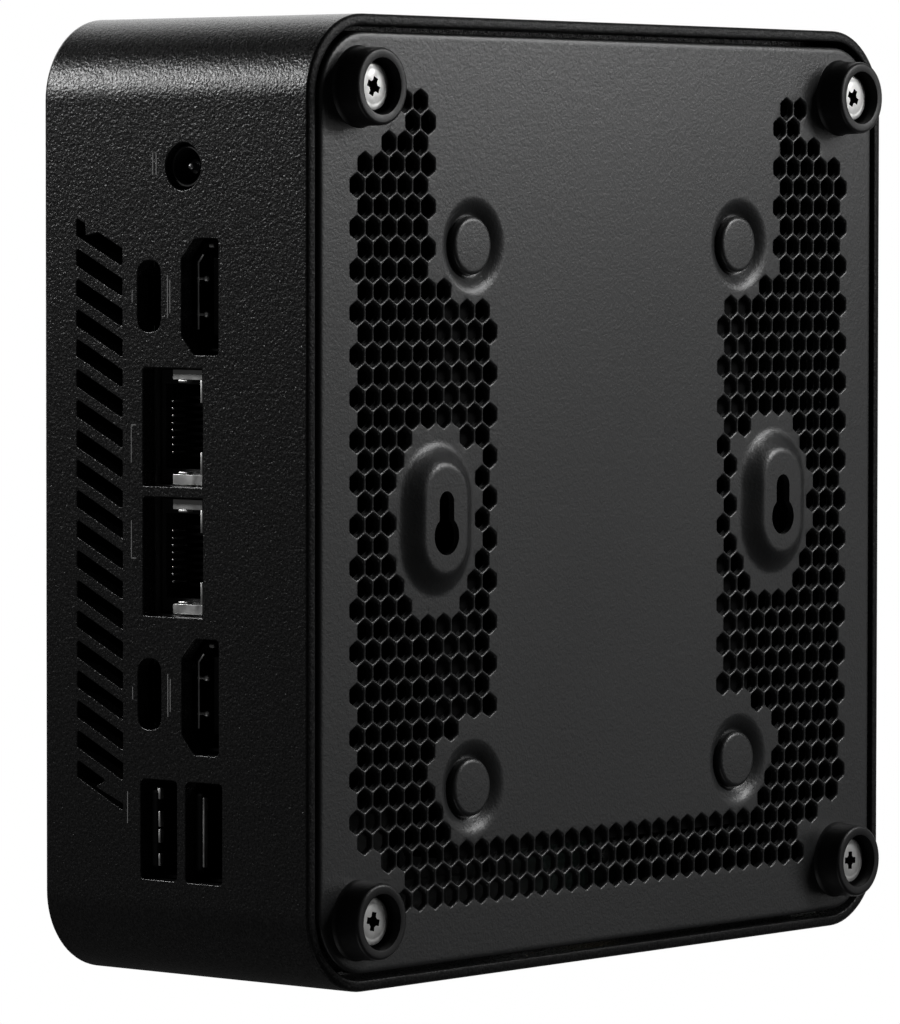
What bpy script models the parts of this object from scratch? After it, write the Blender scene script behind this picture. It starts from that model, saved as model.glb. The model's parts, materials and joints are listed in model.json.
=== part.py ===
"""A palm-sized desktop computer, built from the pieces it is assembled from.

Frame: metres, +Z up. The origin is the centre of the foot plane, -Y is the front
(power button) and +Y is the rear (sockets). The bottom cover carries the feet, its four
captive screws and the drive tray; everything else stays in the moulded housing.
"""
import math

import bmesh
import bpy
from mathutils import Matrix, Vector

MM = 0.001
GAP = 0.3 * MM              # clearance kept between neighbouring pieces
OVER = 1.0 * MM             # how far a cutter runs past the face it cuts

# Enclosure
WIDTH = 135.6 * MM
DEPTH = 132.5 * MM
TOP = 54.4 * MM
FOOT_HEIGHT = 4.3 * MM
CORNER_RADIUS = 11.75 * MM
WALL = 2.2 * MM
LIP = 1.4 * MM              # wall thickness round the bottom opening
LIP_DEPTH = 2.4 * MM
COVER_GAP = 1.1 * MM        # groove between lip and bottom cover
COVER_SHEET = 1.0 * MM
COVER_Z = FOOT_HEIGHT       # outer face of the bottom cover
COVER_TOP = COVER_Z + COVER_SHEET
INNER_TOP = TOP - WALL
REAR_WALL = DEPTH / 2
REAR_INNER = DEPTH / 2 - WALL
SOCKET_FACE = REAR_INNER - 0.35 * MM    # distance of socket mouths from the mid plane

# Corner fixings
FOOT_X = 57.7 * MM
FOOT_Y = 55.6 * MM
FOOT_RADIUS = 5.5 * MM
FOOT_BORE = 3.925 * MM
BOSS_RADIUS = 3.85 * MM
BOSS_Z = 7.0 * MM
INSERT_RADIUS = 2.6 * MM
INSERT_LENGTH = 6.0 * MM
SCREW_SHANK = 1.35 * MM
SCREW_HEAD_RADIUS = 3.3 * MM
SCREW_HEAD_Z = 2.0 * MM     # outer face of the screw heads
CORNERS = {
    "front_left": (-1, -1),
    "front_right": (1, -1),
    "rear_left": (-1, 1),
    "rear_right": (1, 1),
}

# Bottom cover features
DIMPLE_X = (-35.7 * MM, 40.9 * MM)
DIMPLE_Y = 30.86 * MM
DIMPLE_RADIUS = 6.6 * MM
DIMPLE_FLOOR_RADIUS = 4.9 * MM
DIMPLE_DEPTH = 1.0 * MM
STUD_HEAD_RADIUS = 3.9 * MM
STUD_SHANK = 1.4 * MM
KEYHOLE_X = 2.6 * MM
KEYHOLE_Y = 39.1 * MM
KEYHOLE_RISE = 2.05 * MM
KEYHOLE_BASE = (21.6 * MM, 16.0 * MM)
KEYHOLE_FLAT = (15.8 * MM, 9.4 * MM)
KEYHOLE_ROUND = 2.7 * MM
KEYHOLE_SLOT = 1.6 * MM
KEYHOLE_ROUND_X = 4.9 * MM
KEYHOLE_SLOT_X = 0.2 * MM
VENT_PITCH = 8.4 * MM
VENT_FLATS = 6.9 * MM

# Board
BOARD_BOTTOM = 36.3 * MM
BOARD_TOP = 37.9 * MM
BOARD_SIZE = (125.0 * MM, 123.0 * MM)
BOARD_NOTCH = 11.8 * MM
POST_X = 57.0 * MM
POST_Y = (-38.0 * MM, 36.0 * MM)

# Rear wall openings, measured from the foot plane
DC_X = -46.74 * MM
DC_Z = 27.45 * MM
DC_RADIUS = 3.325 * MM
VIDEO_X = (-28.65 * MM, 27.1 * MM)
VIDEO_Z = 24.35 * MM
VIDEO_OPENING = (16.4 * MM, 6.9 * MM)
TYPE_C_Z = 33.9 * MM
TYPE_C_OPENING = (10.0 * MM, 4.4 * MM)
LAN_Z = (23.82 * MM, 35.1 * MM)
LAN_X = ((-18.68 * MM, -2.11 * MM), (-0.61 * MM, 16.09 * MM))
TYPE_A_X = 46.1 * MM
TYPE_A_WIDTH = 14.35 * MM
TYPE_A_Z = ((20.27 * MM, 27.1 * MM), (28.72 * MM, 35.63 * MM))
EXHAUST_SLOTS = 19
EXHAUST_PITCH = 4.256 * MM
EXHAUST_X = -39.51 * MM     # upper end of the first slot
EXHAUST_Z = (39.0 * MM, 47.75 * MM)
EXHAUST_WIDTH = 2.4 * MM

# Front wall openings
FRONT_Z = 32.6 * MM
BUTTON_X = 46.0 * MM
BUTTON_RADIUS = 4.7 * MM
BUTTON_TRAVEL = 0.6 * MM
FRONT_A_X = (-15.0 * MM, 3.5 * MM)
FRONT_C_X = 21.0 * MM
AUDIO_X = -34.0 * MM
AUDIO_RADIUS = 1.8 * MM

# Cooling, above the board
FAN_X = -8.0 * MM
FAN_Y = 11.0 * MM
FAN_BOX = (64.0 * MM, 64.0 * MM)
FAN_Z = (39.5 * MM, 50.3 * MM)
FAN_CAVITY = 28.0 * MM
PLATE_X = 39.5 * MM
PLATE_Y = -16.0 * MM
PIPE_X = 38.0 * MM
PIPE_Y = 54.5 * MM
PIPE_Z = 45.1 * MM
PIPE_RADIUS = 2.5 * MM
FINS_X = (-40.0 * MM, 25.0 * MM)
FINS_Y = (47.5 * MM, 61.5 * MM)
FIN_CHANNELS = 13

# Drive on the cover
TRAY_Z = COVER_TOP + DIMPLE_DEPTH + GAP
TRAY_SHEET = 0.8 * MM
DRIVE_LOW = TRAY_Z + TRAY_SHEET + GAP
DRIVE_SIZE = (100.45 * MM, 69.85 * MM, 7.0 * MM)
DRIVE_X = 0.5 * MM

# Cards under the board
MEMORY_X = 33.8 * MM
MEMORY_Y = (-8.0 * MM, 22.0 * MM)
MEMORY_Z = (34.0 * MM, 29.2 * MM)
CARD_Z = 33.6 * MM

# Facing of a socket's local +Z, which is its mouth
TO_REAR = (math.radians(-90), 0, 0)
TO_FRONT = (math.radians(90), 0, 0)


for old in list(bpy.data.objects):
    bpy.data.objects.remove(old)

PARTS = bpy.data.collections.new("mini_pc")
CUTTERS = bpy.data.collections.new("cutters")
for group in (PARTS, CUTTERS):
    bpy.context.scene.collection.children.link(group)


# ---------------------------------------------------------------- materials

def finish(name, colour, roughness, metallic=0.0):
    """A plain Principled material."""
    material = bpy.data.materials.new(name)
    material.use_nodes = True
    shader = material.node_tree.nodes["Principled BSDF"]
    shader.inputs["Base Color"].default_value = (*colour, 1)
    shader.inputs["Roughness"].default_value = roughness
    shader.inputs["Metallic"].default_value = metallic
    return material


HOUSING_BLACK = finish("housing_black", (0.012, 0.012, 0.013), 0.55)
COVER_GREY = finish("cover_grey", (0.035, 0.036, 0.037), 0.5)
RUBBER = finish("rubber", (0.02, 0.02, 0.02), 0.8)
STEEL = finish("steel", (0.62, 0.62, 0.6), 0.3, 1.0)
BRASS = finish("brass", (0.7, 0.52, 0.25), 0.35, 1.0)
ALUMINIUM = finish("aluminium", (0.72, 0.73, 0.74), 0.35, 1.0)
COPPER = finish("copper", (0.72, 0.36, 0.22), 0.35, 1.0)
BOARD_GREEN = finish("board_green", (0.01, 0.045, 0.03), 0.45)
BOARD_BLUE = finish("board_blue", (0.01, 0.02, 0.06), 0.45)
SOCKET_BLACK = finish("socket_black", (0.015, 0.015, 0.015), 0.45)
FAN_BLACK = finish("fan_black", (0.02, 0.02, 0.022), 0.5)
SILICON = finish("silicon", (0.12, 0.13, 0.14), 0.25, 0.4)
RIBBON = finish("ribbon", (0.025, 0.025, 0.03), 0.6)


# ---------------------------------------------------------------- outlines

def arc(cx, cy, radius, start, sweep, steps):
    """Points on an arc, both ends included; angles in degrees."""
    angles = [math.radians(start + sweep * i / steps) for i in range(steps + 1)]
    return [(cx + radius * math.cos(a), cy + radius * math.sin(a)) for a in angles]


def rounded_rectangle(width, height, radius, steps=6):
    """Anticlockwise rectangle with rounded corners."""
    x = width / 2 - radius
    y = height / 2 - radius
    centres = ((x, -y, -90), (x, y, 0), (-x, y, 90), (-x, -y, 180))
    return [p for cx, cy, start in centres for p in arc(cx, cy, radius, start, 90, steps)]


def rectangle(width, height):
    """Anticlockwise rectangle about the origin."""
    x = width / 2
    y = height / 2
    return [(-x, -y), (x, -y), (x, y), (-x, y)]


def stadium(width, height, steps=8):
    """Two half circles joined by straight sides; the longer side is the straight one."""
    radius = min(width, height) / 2
    if width >= height:
        reach = width / 2 - radius
        return arc(reach, 0, radius, -90, 180, steps) + arc(-reach, 0, radius, 90, 180, steps)
    reach = height / 2 - radius
    return arc(0, reach, radius, 0, 180, steps) + arc(0, -reach, radius, 180, 180, steps)


def circle(radius, steps=24):
    """Regular polygon that stands for a circle."""
    return arc(0, 0, radius, 0, 360 - 360 / steps, steps - 1)


def video_outline(width, height):
    """Flat six-sided mouth: full width on one side, chamfered towards the other."""
    x = width / 2
    y = height / 2
    inset = 0.16 * width
    shoulder = 0.05 * height
    return [(-x + inset, -y), (x - inset, -y), (x, -shoulder), (x, y), (-x, y), (-x, -shoulder)]


def keyhole_outline(steps=12):
    """Round entry hole that runs into a narrow slot towards -X."""
    half_angle = math.degrees(math.asin(KEYHOLE_SLOT / KEYHOLE_ROUND))
    entry = arc(KEYHOLE_ROUND_X, 0, KEYHOLE_ROUND, half_angle - 180, 360 - 2 * half_angle, steps)
    slot = arc(KEYHOLE_SLOT_X, 0, KEYHOLE_SLOT, 90, 180, steps // 2)
    return entry + slot


# ---------------------------------------------------------------- solids

def settle(obj, material=None):
    """Put an object in the parts collection with its material."""
    PARTS.objects.link(obj)
    if material:
        obj.data.materials.append(material)
    return obj


def from_bmesh(name, work, material=None, location=(0, 0, 0), rotation=(0, 0, 0)):
    """Object from a finished bmesh."""
    mesh = bpy.data.meshes.new(name)
    work.to_mesh(mesh)
    work.free()
    obj = bpy.data.objects.new(name, mesh)
    obj.location = location
    obj.rotation_euler = rotation
    return settle(obj, material)


def box(name, low, high, material=None):
    """Box between two world corners."""
    low = Vector(low)
    high = Vector(high)
    work = bmesh.new()
    bmesh.ops.create_cube(work, size=1)
    bmesh.ops.scale(work, vec=high - low, verts=work.verts)
    return from_bmesh(name, work, material, (low + high) / 2)


def cylinder(name, radius, length, location, material=None, rotation=(0, 0, 0), steps=24, top=None):
    """Cylinder or, with another top radius, a cone; centred on its location."""
    work = bmesh.new()
    bmesh.ops.create_cone(
        work, cap_ends=True, segments=steps, radius1=radius,
        radius2=radius if top is None else top, depth=length,
    )
    return from_bmesh(name, work, material, location, rotation)


def weld(mesh):
    """Close a mesh that came from a curve."""
    work = bmesh.new()
    work.from_mesh(mesh)
    bmesh.ops.remove_doubles(work, verts=work.verts, dist=1e-6)
    bmesh.ops.recalc_face_normals(work, faces=work.faces)
    work.to_mesh(mesh)
    work.free()


def curve_to_mesh(guide, name, material):
    """Replace a curve object by a closed mesh object in the same place."""
    PARTS.objects.link(guide)
    bpy.context.view_layer.update()
    depsgraph = bpy.context.evaluated_depsgraph_get()
    mesh = bpy.data.meshes.new_from_object(guide.evaluated_get(depsgraph))
    obj = bpy.data.objects.new(name, mesh)
    obj.matrix_world = guide.matrix_world
    bpy.data.objects.remove(guide)
    weld(mesh)
    mesh.name = name
    mesh.materials.clear()
    return settle(obj, material)


def slab(name, outlines, thickness, location, material=None, rotation=(0, 0, 0)):
    """Flat outline with any holes in it, extruded and centred on its location."""
    curve = bpy.data.curves.new(name, "CURVE")
    curve.dimensions = "2D"
    curve.fill_mode = "BOTH"
    curve.extrude = thickness / 2
    for outline in outlines:
        spline = curve.splines.new("POLY")
        spline.points.add(len(outline) - 1)
        for point, (x, y) in zip(spline.points, outline):
            point.co = (x, y, 0, 1)
        spline.use_cyclic_u = True
    guide = bpy.data.objects.new(name + "_outline", curve)
    guide.location = location
    guide.rotation_euler = rotation
    return curve_to_mesh(guide, name, material)


def turned(name, profile, location, material=None, rotation=(0, 0, 0), steps=24, ring=False):
    """Profile of (radius, height) points, top to bottom, turned about the local Z axis."""
    mesh = bpy.data.meshes.new(name)
    points = [(radius, 0, height) for radius, height in profile]
    edges = [(i, i + 1) for i in range(len(points) - 1)]
    if ring:
        edges.append((len(points) - 1, 0))
    mesh.from_pydata(points, edges, [])
    obj = bpy.data.objects.new(name, mesh)
    obj.location = location
    obj.rotation_euler = rotation
    screw = obj.modifiers.new("turn", "SCREW")
    screw.axis = "Z"
    screw.angle = math.tau
    screw.steps = steps
    screw.render_steps = steps
    screw.use_merge_vertices = True
    screw.merge_threshold = 1e-5
    return settle(obj, material)


def cut(part, tool, operation="DIFFERENCE"):
    """Boolean with a tool that is kept as a wire-only cutter."""
    PARTS.objects.unlink(tool)
    CUTTERS.objects.link(tool)
    tool.hide_render = True
    tool.display_type = "WIRE"
    modifier = part.modifiers.new(tool.name, "BOOLEAN")
    modifier.operation = operation
    modifier.solver = "EXACT"
    modifier.object = tool


def join(part, tool):
    """Union with a tool."""
    cut(part, tool, "UNION")


def round_edges(part, width, segments=2, angle=40):
    """Bevel every edge sharper than the angle."""
    bevel = part.modifiers.new("round", "BEVEL")
    bevel.width = width
    bevel.segments = segments
    bevel.limit_method = "ANGLE"
    bevel.angle_limit = math.radians(angle)


def smooth(part, angle=35):
    """Smooth shading between shallow faces."""
    part.data.shade_smooth()
    part.data.set_sharp_from_angle(angle=math.radians(angle))


def group(name, location=(0, 0, 0)):
    """Empty that a moving set of pieces is parented to."""
    empty = bpy.data.objects.new(name, None)
    empty.location = location
    PARTS.objects.link(empty)
    return empty


# ---------------------------------------------------------------- housing

def rounded_block(name, width, depth, radius, low, high, steps, open_bottom=False):
    """Box with rounded vertical edges, with or without its bottom face."""
    work = bmesh.new()
    bmesh.ops.create_cube(work, size=1)
    bmesh.ops.scale(work, vec=(width, depth, high - low), verts=work.verts)
    upright = [e for e in work.edges if abs(e.verts[0].co.z - e.verts[1].co.z) > 1e-6]
    bmesh.ops.bevel(work, geom=upright, offset=radius, segments=steps, profile=0.5, affect="EDGES")
    if open_bottom:
        bottom = [f for f in work.faces if f.normal.z < -0.9]
        bmesh.ops.delete(work, geom=bottom, context="FACES_ONLY")
    return from_bmesh(name, work, None, (0, 0, (low + high) / 2))


def exhaust_slots():
    """Row of slanted slots, made as one cutter."""
    height = EXHAUST_Z[1] - EXHAUST_Z[0]
    outlines = []
    for i in range(EXHAUST_SLOTS):
        x = EXHAUST_X + i * EXHAUST_PITCH
        low = x + EXHAUST_PITCH
        outlines.append([
            (x, -height / 2), (x + EXHAUST_WIDTH, -height / 2),
            (low + EXHAUST_WIDTH, height / 2), (low, height / 2),
        ])
    middle = (EXHAUST_Z[0] + EXHAUST_Z[1]) / 2
    place = (0, REAR_WALL - WALL / 2, middle)
    return slab("exhaust_slots", outlines, WALL + 2 * OVER, place, rotation=TO_REAR)


def wall_cutter(name, outline, x, z, rear=True):
    """Opening through the rear or the front wall."""
    y = REAR_WALL - WALL / 2
    facing = TO_REAR if rear else TO_FRONT
    place = (x, y if rear else -y, z)
    return slab(name, [outline], WALL + 2 * OVER, place, rotation=facing)


def housing_openings():
    """Every opening in the front and rear walls."""
    yield wall_cutter("dc_opening", circle(DC_RADIUS, 20), DC_X, DC_Z)
    for side, x in zip(("left", "right"), VIDEO_X):
        yield wall_cutter("video_opening_" + side, video_outline(*VIDEO_OPENING), x, VIDEO_Z)
        yield wall_cutter("type_c_opening_" + side, stadium(*TYPE_C_OPENING, 6), x, TYPE_C_Z)
    for side, (low, high) in zip(("left", "right"), LAN_X):
        mouth = rectangle(high - low, LAN_Z[1] - LAN_Z[0])
        yield wall_cutter("lan_opening_" + side, mouth, (low + high) / 2, sum(LAN_Z) / 2)
    for level, (low, high) in zip(("lower", "upper"), TYPE_A_Z):
        mouth = rectangle(TYPE_A_WIDTH, high - low)
        yield wall_cutter("type_a_opening_" + level, mouth, TYPE_A_X, (low + high) / 2)
    for side, x in zip(("left", "right"), FRONT_A_X):
        yield wall_cutter("front_a_opening_" + side, rectangle(14.35 * MM, 6.9 * MM), x, FRONT_Z, False)
    yield wall_cutter("front_c_opening", stadium(*TYPE_C_OPENING, 6), FRONT_C_X, FRONT_Z, False)
    yield wall_cutter("audio_opening", circle(2.1 * MM, 16), AUDIO_X, FRONT_Z, False)
    yield wall_cutter("button_opening", circle(BUTTON_RADIUS + GAP), BUTTON_X, FRONT_Z, False)
    yield exhaust_slots()


def build_housing():
    """One moulded shell, open at the bottom, with corner bosses and board posts."""
    shell = rounded_block("housing", WIDTH, DEPTH, CORNER_RADIUS, COVER_Z, TOP, 8, open_bottom=True)
    shell.data.materials.append(HOUSING_BLACK)
    skin = shell.modifiers.new("wall", "SOLIDIFY")
    skin.thickness = WALL
    skin.offset = -1
    skin.use_even_offset = True

    top_overlap = INNER_TOP + WALL / 2
    for corner, (sx, sy) in CORNERS.items():
        x = sx * FOOT_X
        y = sy * FOOT_Y
        middle = (BOSS_Z + top_overlap) / 2
        join(shell, cylinder("boss_" + corner, BOSS_RADIUS, top_overlap - BOSS_Z, (x, y, middle), steps=20))
        bore_top = BOSS_Z + INSERT_LENGTH + 5 * MM
        bore = (BOSS_Z - OVER + bore_top) / 2
        depth = bore_top - BOSS_Z + OVER
        cut(shell, cylinder("boss_bore_" + corner, INSERT_RADIUS + GAP, depth, (x, y, bore), steps=16))
    for name, (x, y) in board_fixings().items():
        low = BOARD_TOP + GAP
        middle = (low + top_overlap) / 2
        join(shell, cylinder("post_" + name, 3 * MM, top_overlap - low, (x, y, middle), steps=16))
        cut(shell, cylinder("post_bore_" + name, 1.45 * MM, 12 * MM, (x, y, low + 5 * MM), steps=12))

    rebate = rounded_block(
        "lip_rebate", WIDTH - 2 * LIP, DEPTH - 2 * LIP, CORNER_RADIUS - LIP,
        COVER_Z - OVER, COVER_Z + LIP_DEPTH, 8,
    )
    cut(shell, rebate)
    for opening in housing_openings():
        cut(shell, opening)
    smooth(shell)
    return shell


def board_fixings():
    """Places of the four screws that hold the board to the housing."""
    return {
        "front_left": (-POST_X, POST_Y[0]),
        "front_right": (POST_X, POST_Y[0]),
        "rear_left": (-POST_X, POST_Y[1]),
        "rear_right": (POST_X, POST_Y[1]),
    }


# ---------------------------------------------------------------- bottom cover

def is_vented(x, y):
    """True where the bottom cover is perforated: side strips and a band at the +X side."""
    side = abs(y)
    if max(abs(x), side) > 57.5 * MM:
        return False
    band = x > 48.5 * MM
    waist = abs(x + 1 * MM) < 32 * MM and side > 26.5 * MM
    strip = side > 40 * MM
    if not (band or waist or strip):
        return False
    clear_of_feet = math.hypot(abs(x) - FOOT_X, side - FOOT_Y) > 11.5 * MM
    clear_of_dimples = all(math.hypot(x - dx, side - DIMPLE_Y) > 10 * MM for dx in DIMPLE_X)
    reach = max(abs(x - KEYHOLE_X) - 5 * MM, 0)
    clear_of_keyhole = math.hypot(reach, side - KEYHOLE_Y) > 10.5 * MM
    return clear_of_feet and clear_of_dimples and clear_of_keyhole


def vent_cutter():
    """Honeycomb of hexagonal prisms over the vented zones, points along X, as one cutter."""
    row_step = VENT_PITCH * math.sqrt(3) / 2
    radius = VENT_FLATS / math.sqrt(3)
    work = bmesh.new()
    for row in range(-8, 9):
        offset = VENT_PITCH / 2 * (row % 2)
        for column in range(-8, 9):
            x = row * row_step
            y = column * VENT_PITCH + offset
            if is_vented(x, y):
                place = Matrix.Translation((x, y, 0)) @ Matrix.Rotation(math.radians(90), 4, "Z")
                bmesh.ops.create_cone(
                    work, cap_ends=True, segments=6, radius1=radius, radius2=radius,
                    depth=COVER_SHEET + 2 * OVER, matrix=place,
                )
    return from_bmesh("vents", work, None, (0, 0, COVER_Z + COVER_SHEET / 2))


def oval_frustum(name, base, flat, rise, x, y, z):
    """Solid between a large oval above and a smaller one below it."""
    work = bmesh.new()
    rings = []
    for size, level in ((flat, 0), (base, rise)):
        rings.append([work.verts.new((px, py, level)) for px, py in stadium(*size, 6)])
    low, high = rings
    count = len(low)
    for i in range(count):
        j = (i + 1) % count
        work.faces.new((low[i], low[j], high[j], high[i]))
    work.faces.new(list(reversed(low)))
    work.faces.new(high)
    return from_bmesh(name, work, None, (x, y, z))


def build_cover(carrier):
    """Pressed sheet with a honeycomb, four dimples and two raised keyhole bosses."""
    inset = 2 * (LIP + COVER_GAP)
    outline = rounded_rectangle(WIDTH - inset, DEPTH - inset, CORNER_RADIUS - inset / 2, 6)
    middle = COVER_Z + COVER_SHEET / 2
    cover = slab("bottom_cover", [outline], COVER_SHEET, (0, 0, middle), COVER_GREY)
    cover.parent = carrier

    for row, x in zip(("left", "right"), DIMPLE_X):
        for column, y in (("front", -DIMPLE_Y), ("rear", DIMPLE_Y)):
            label = row + "_" + column
            cup_z = COVER_TOP + DIMPLE_DEPTH / 2 - COVER_SHEET / 4
            cup_height = DIMPLE_DEPTH + COVER_SHEET / 2
            join(cover, cylinder(
                "dimple_cup_" + label, DIMPLE_RADIUS + 0.6 * MM, cup_height, (x, y, cup_z),
                top=DIMPLE_FLOOR_RADIUS + 0.8 * MM, steps=16,
            ))
            cut(cover, cylinder(
                "dimple_" + label, DIMPLE_RADIUS + DIMPLE_DEPTH, 2 * DIMPLE_DEPTH, (x, y, COVER_Z),
                top=DIMPLE_FLOOR_RADIUS, steps=16,
            ))
            cut(cover, cylinder("dimple_hole_" + label, STUD_SHANK + GAP, 8 * MM, (x, y, COVER_Z), steps=12))

    for side, y in (("front", -KEYHOLE_Y), ("rear", KEYHOLE_Y)):
        z = COVER_Z - KEYHOLE_RISE
        rise = KEYHOLE_RISE + COVER_SHEET / 2
        join(cover, oval_frustum(
            "keyhole_boss_" + side, KEYHOLE_BASE, KEYHOLE_FLAT, rise, KEYHOLE_X, y, z,
        ))
        hollow_base = tuple(size + 0.4 * MM for size in KEYHOLE_BASE)
        cut(cover, oval_frustum(
            "keyhole_hollow_" + side, hollow_base, tuple(size - 0.8 * MM for size in KEYHOLE_FLAT),
            KEYHOLE_RISE + COVER_SHEET, KEYHOLE_X, y, z + COVER_SHEET,
        ))
        cut(cover, slab("keyhole_" + side, [keyhole_outline()], 6 * MM, (0, y, COVER_Z)))

    for corner, (sx, sy) in CORNERS.items():
        place = (sx * FOOT_X, sy * FOOT_Y, COVER_Z)
        cut(cover, cylinder("cover_hole_" + corner, 1.8 * MM, 6 * MM, place, steps=16))
    cut(cover, vent_cutter())
    smooth(cover)
    return cover


def build_feet(carrier):
    """Four ring feet, the captive screws inside them and the threaded inserts above."""
    for corner, (sx, sy) in CORNERS.items():
        place = (sx * FOOT_X, sy * FOOT_Y, 0)
        top = COVER_Z - GAP
        foot = turned("foot_" + corner, [
            (FOOT_RADIUS, top), (FOOT_RADIUS, 0.3 * MM), (FOOT_RADIUS - 0.3 * MM, 0),
            (FOOT_BORE, 0), (FOOT_BORE, top),
        ], place, RUBBER, steps=20, ring=True)
        foot.parent = carrier
        smooth(foot)

        tip = BOSS_Z + INSERT_LENGTH + 1 * MM
        head_top = COVER_Z - GAP
        screw = turned("cover_screw_" + corner, [
            (0, tip), (SCREW_SHANK, tip), (SCREW_SHANK, head_top), (SCREW_HEAD_RADIUS, head_top),
            (SCREW_HEAD_RADIUS, SCREW_HEAD_Z + 0.4 * MM), (SCREW_HEAD_RADIUS - 0.5 * MM, SCREW_HEAD_Z),
            (0, SCREW_HEAD_Z),
        ], place, STEEL, steps=16)
        screw.parent = carrier
        for turn in (15, 105):
            name = "cross_{}_{}".format(corner, turn)
            blade = box(name, (-1.7 * MM, -0.45 * MM, -MM), (1.7 * MM, 0.45 * MM, MM))
            blade.location = (place[0], place[1], SCREW_HEAD_Z)
            blade.rotation_euler = (0, 0, math.radians(turn))
            cut(screw, blade)
        smooth(screw)

        insert = turned("insert_" + corner, [
            (INSERT_RADIUS, BOSS_Z + INSERT_LENGTH), (INSERT_RADIUS, BOSS_Z),
            (SCREW_SHANK + GAP, BOSS_Z), (SCREW_SHANK + GAP, BOSS_Z + INSERT_LENGTH),
        ], place, BRASS, steps=16, ring=True)
        smooth(insert)


def build_drive(carrier):
    """2.5 inch drive in a tray that hangs on the cover by four studs, with its ribbon."""
    half_x = DRIVE_SIZE[0] / 2
    half_y = DRIVE_SIZE[1] / 2
    side = half_y + GAP
    tray = box(
        "drive_tray", (DRIVE_X - half_x + 6 * MM, -side - 0.8 * MM, TRAY_Z),
        (DRIVE_X + half_x, side + 0.8 * MM, DRIVE_LOW + 5 * MM), STEEL,
    )
    tray.parent = carrier
    cut(tray, box(
        "tray_hollow", (DRIVE_X - half_x, -side, TRAY_Z + TRAY_SHEET),
        (DRIVE_X + half_x + OVER, side, DRIVE_LOW + 6 * MM),
    ))
    window = rounded_rectangle(56 * MM, 40 * MM, 4 * MM, 3)
    cut(tray, slab("tray_window", [window], 4 * MM, (DRIVE_X + 2 * MM, 0, TRAY_Z)))
    drive = box(
        "drive", (DRIVE_X - half_x, -half_y, DRIVE_LOW),
        (DRIVE_X + half_x, half_y, DRIVE_LOW + DRIVE_SIZE[2]), ALUMINIUM,
    )
    drive.parent = carrier
    round_edges(drive, 0.6 * MM, 1)

    for row, x in zip(("left", "right"), DIMPLE_X):
        for column, y in (("front", -DIMPLE_Y), ("rear", DIMPLE_Y)):
            label = row + "_" + column
            cut(tray, cylinder("tray_hole_" + label, STUD_SHANK + GAP, 6 * MM, (x, y, TRAY_Z), steps=12))
            cut(drive, cylinder("drive_hole_" + label, STUD_SHANK + GAP, 5 * MM, (x, y, DRIVE_LOW), steps=12))
            floor = COVER_Z + DIMPLE_DEPTH - GAP
            stud = turned("drive_stud_" + label, [
                (0, DRIVE_LOW + 2 * MM), (STUD_SHANK, DRIVE_LOW + 2 * MM), (STUD_SHANK, floor),
                (STUD_HEAD_RADIUS, floor), (STUD_HEAD_RADIUS, COVER_Z + 0.3 * MM),
                (STUD_HEAD_RADIUS - 0.3 * MM, COVER_Z), (0, COVER_Z),
            ], (x, y, 0), COVER_GREY, steps=16)
            stud.parent = carrier
            smooth(stud)

    plug_x = DRIVE_X - half_x - GAP
    plug_z = DRIVE_LOW + 1.5 * MM
    ribbon = box(
        "drive_cable", (plug_x - 5 * MM, -22 * MM, plug_z), (plug_x, 22 * MM, plug_z + 5 * MM), RIBBON,
    )
    ribbon.parent = carrier
    join(ribbon, box(
        "ribbon_riser", (plug_x - 5.2 * MM, -9 * MM, plug_z + 2 * MM), (plug_x - 4.4 * MM, 9 * MM, 29 * MM),
    ))


# ---------------------------------------------------------------- board and what sits on it

def build_board():
    """Main board, notched round the corner bosses, and its four screws."""
    thickness = BOARD_TOP - BOARD_BOTTOM
    middle = (BOARD_TOP + BOARD_BOTTOM) / 2
    board = slab("motherboard", [rectangle(*BOARD_SIZE)], thickness, (0, 0, middle), BOARD_GREEN)
    for corner, (sx, sy) in CORNERS.items():
        x = sx * (BOARD_SIZE[0] / 2)
        y = sy * (BOARD_SIZE[1] / 2)
        notch = slab(
            "notch_" + corner, [rounded_rectangle(2 * BOARD_NOTCH, 2 * BOARD_NOTCH, 4 * MM, 3)], 6 * MM,
            (x, y, middle),
        )
        cut(board, notch)
    for name, (x, y) in board_fixings().items():
        cut(board, cylinder("board_hole_" + name, 1.6 * MM, 6 * MM, (x, y, middle), steps=12))
        head = BOARD_BOTTOM - GAP
        screw = turned("board_screw_" + name, [
            (0, head + 7 * MM), (1.1 * MM, head + 7 * MM), (1.1 * MM, head), (2.5 * MM, head),
            (2.3 * MM, head - 1.2 * MM), (0, head - 1.2 * MM),
        ], (x, y, 0), STEEL, steps=12)
        smooth(screw)


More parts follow.
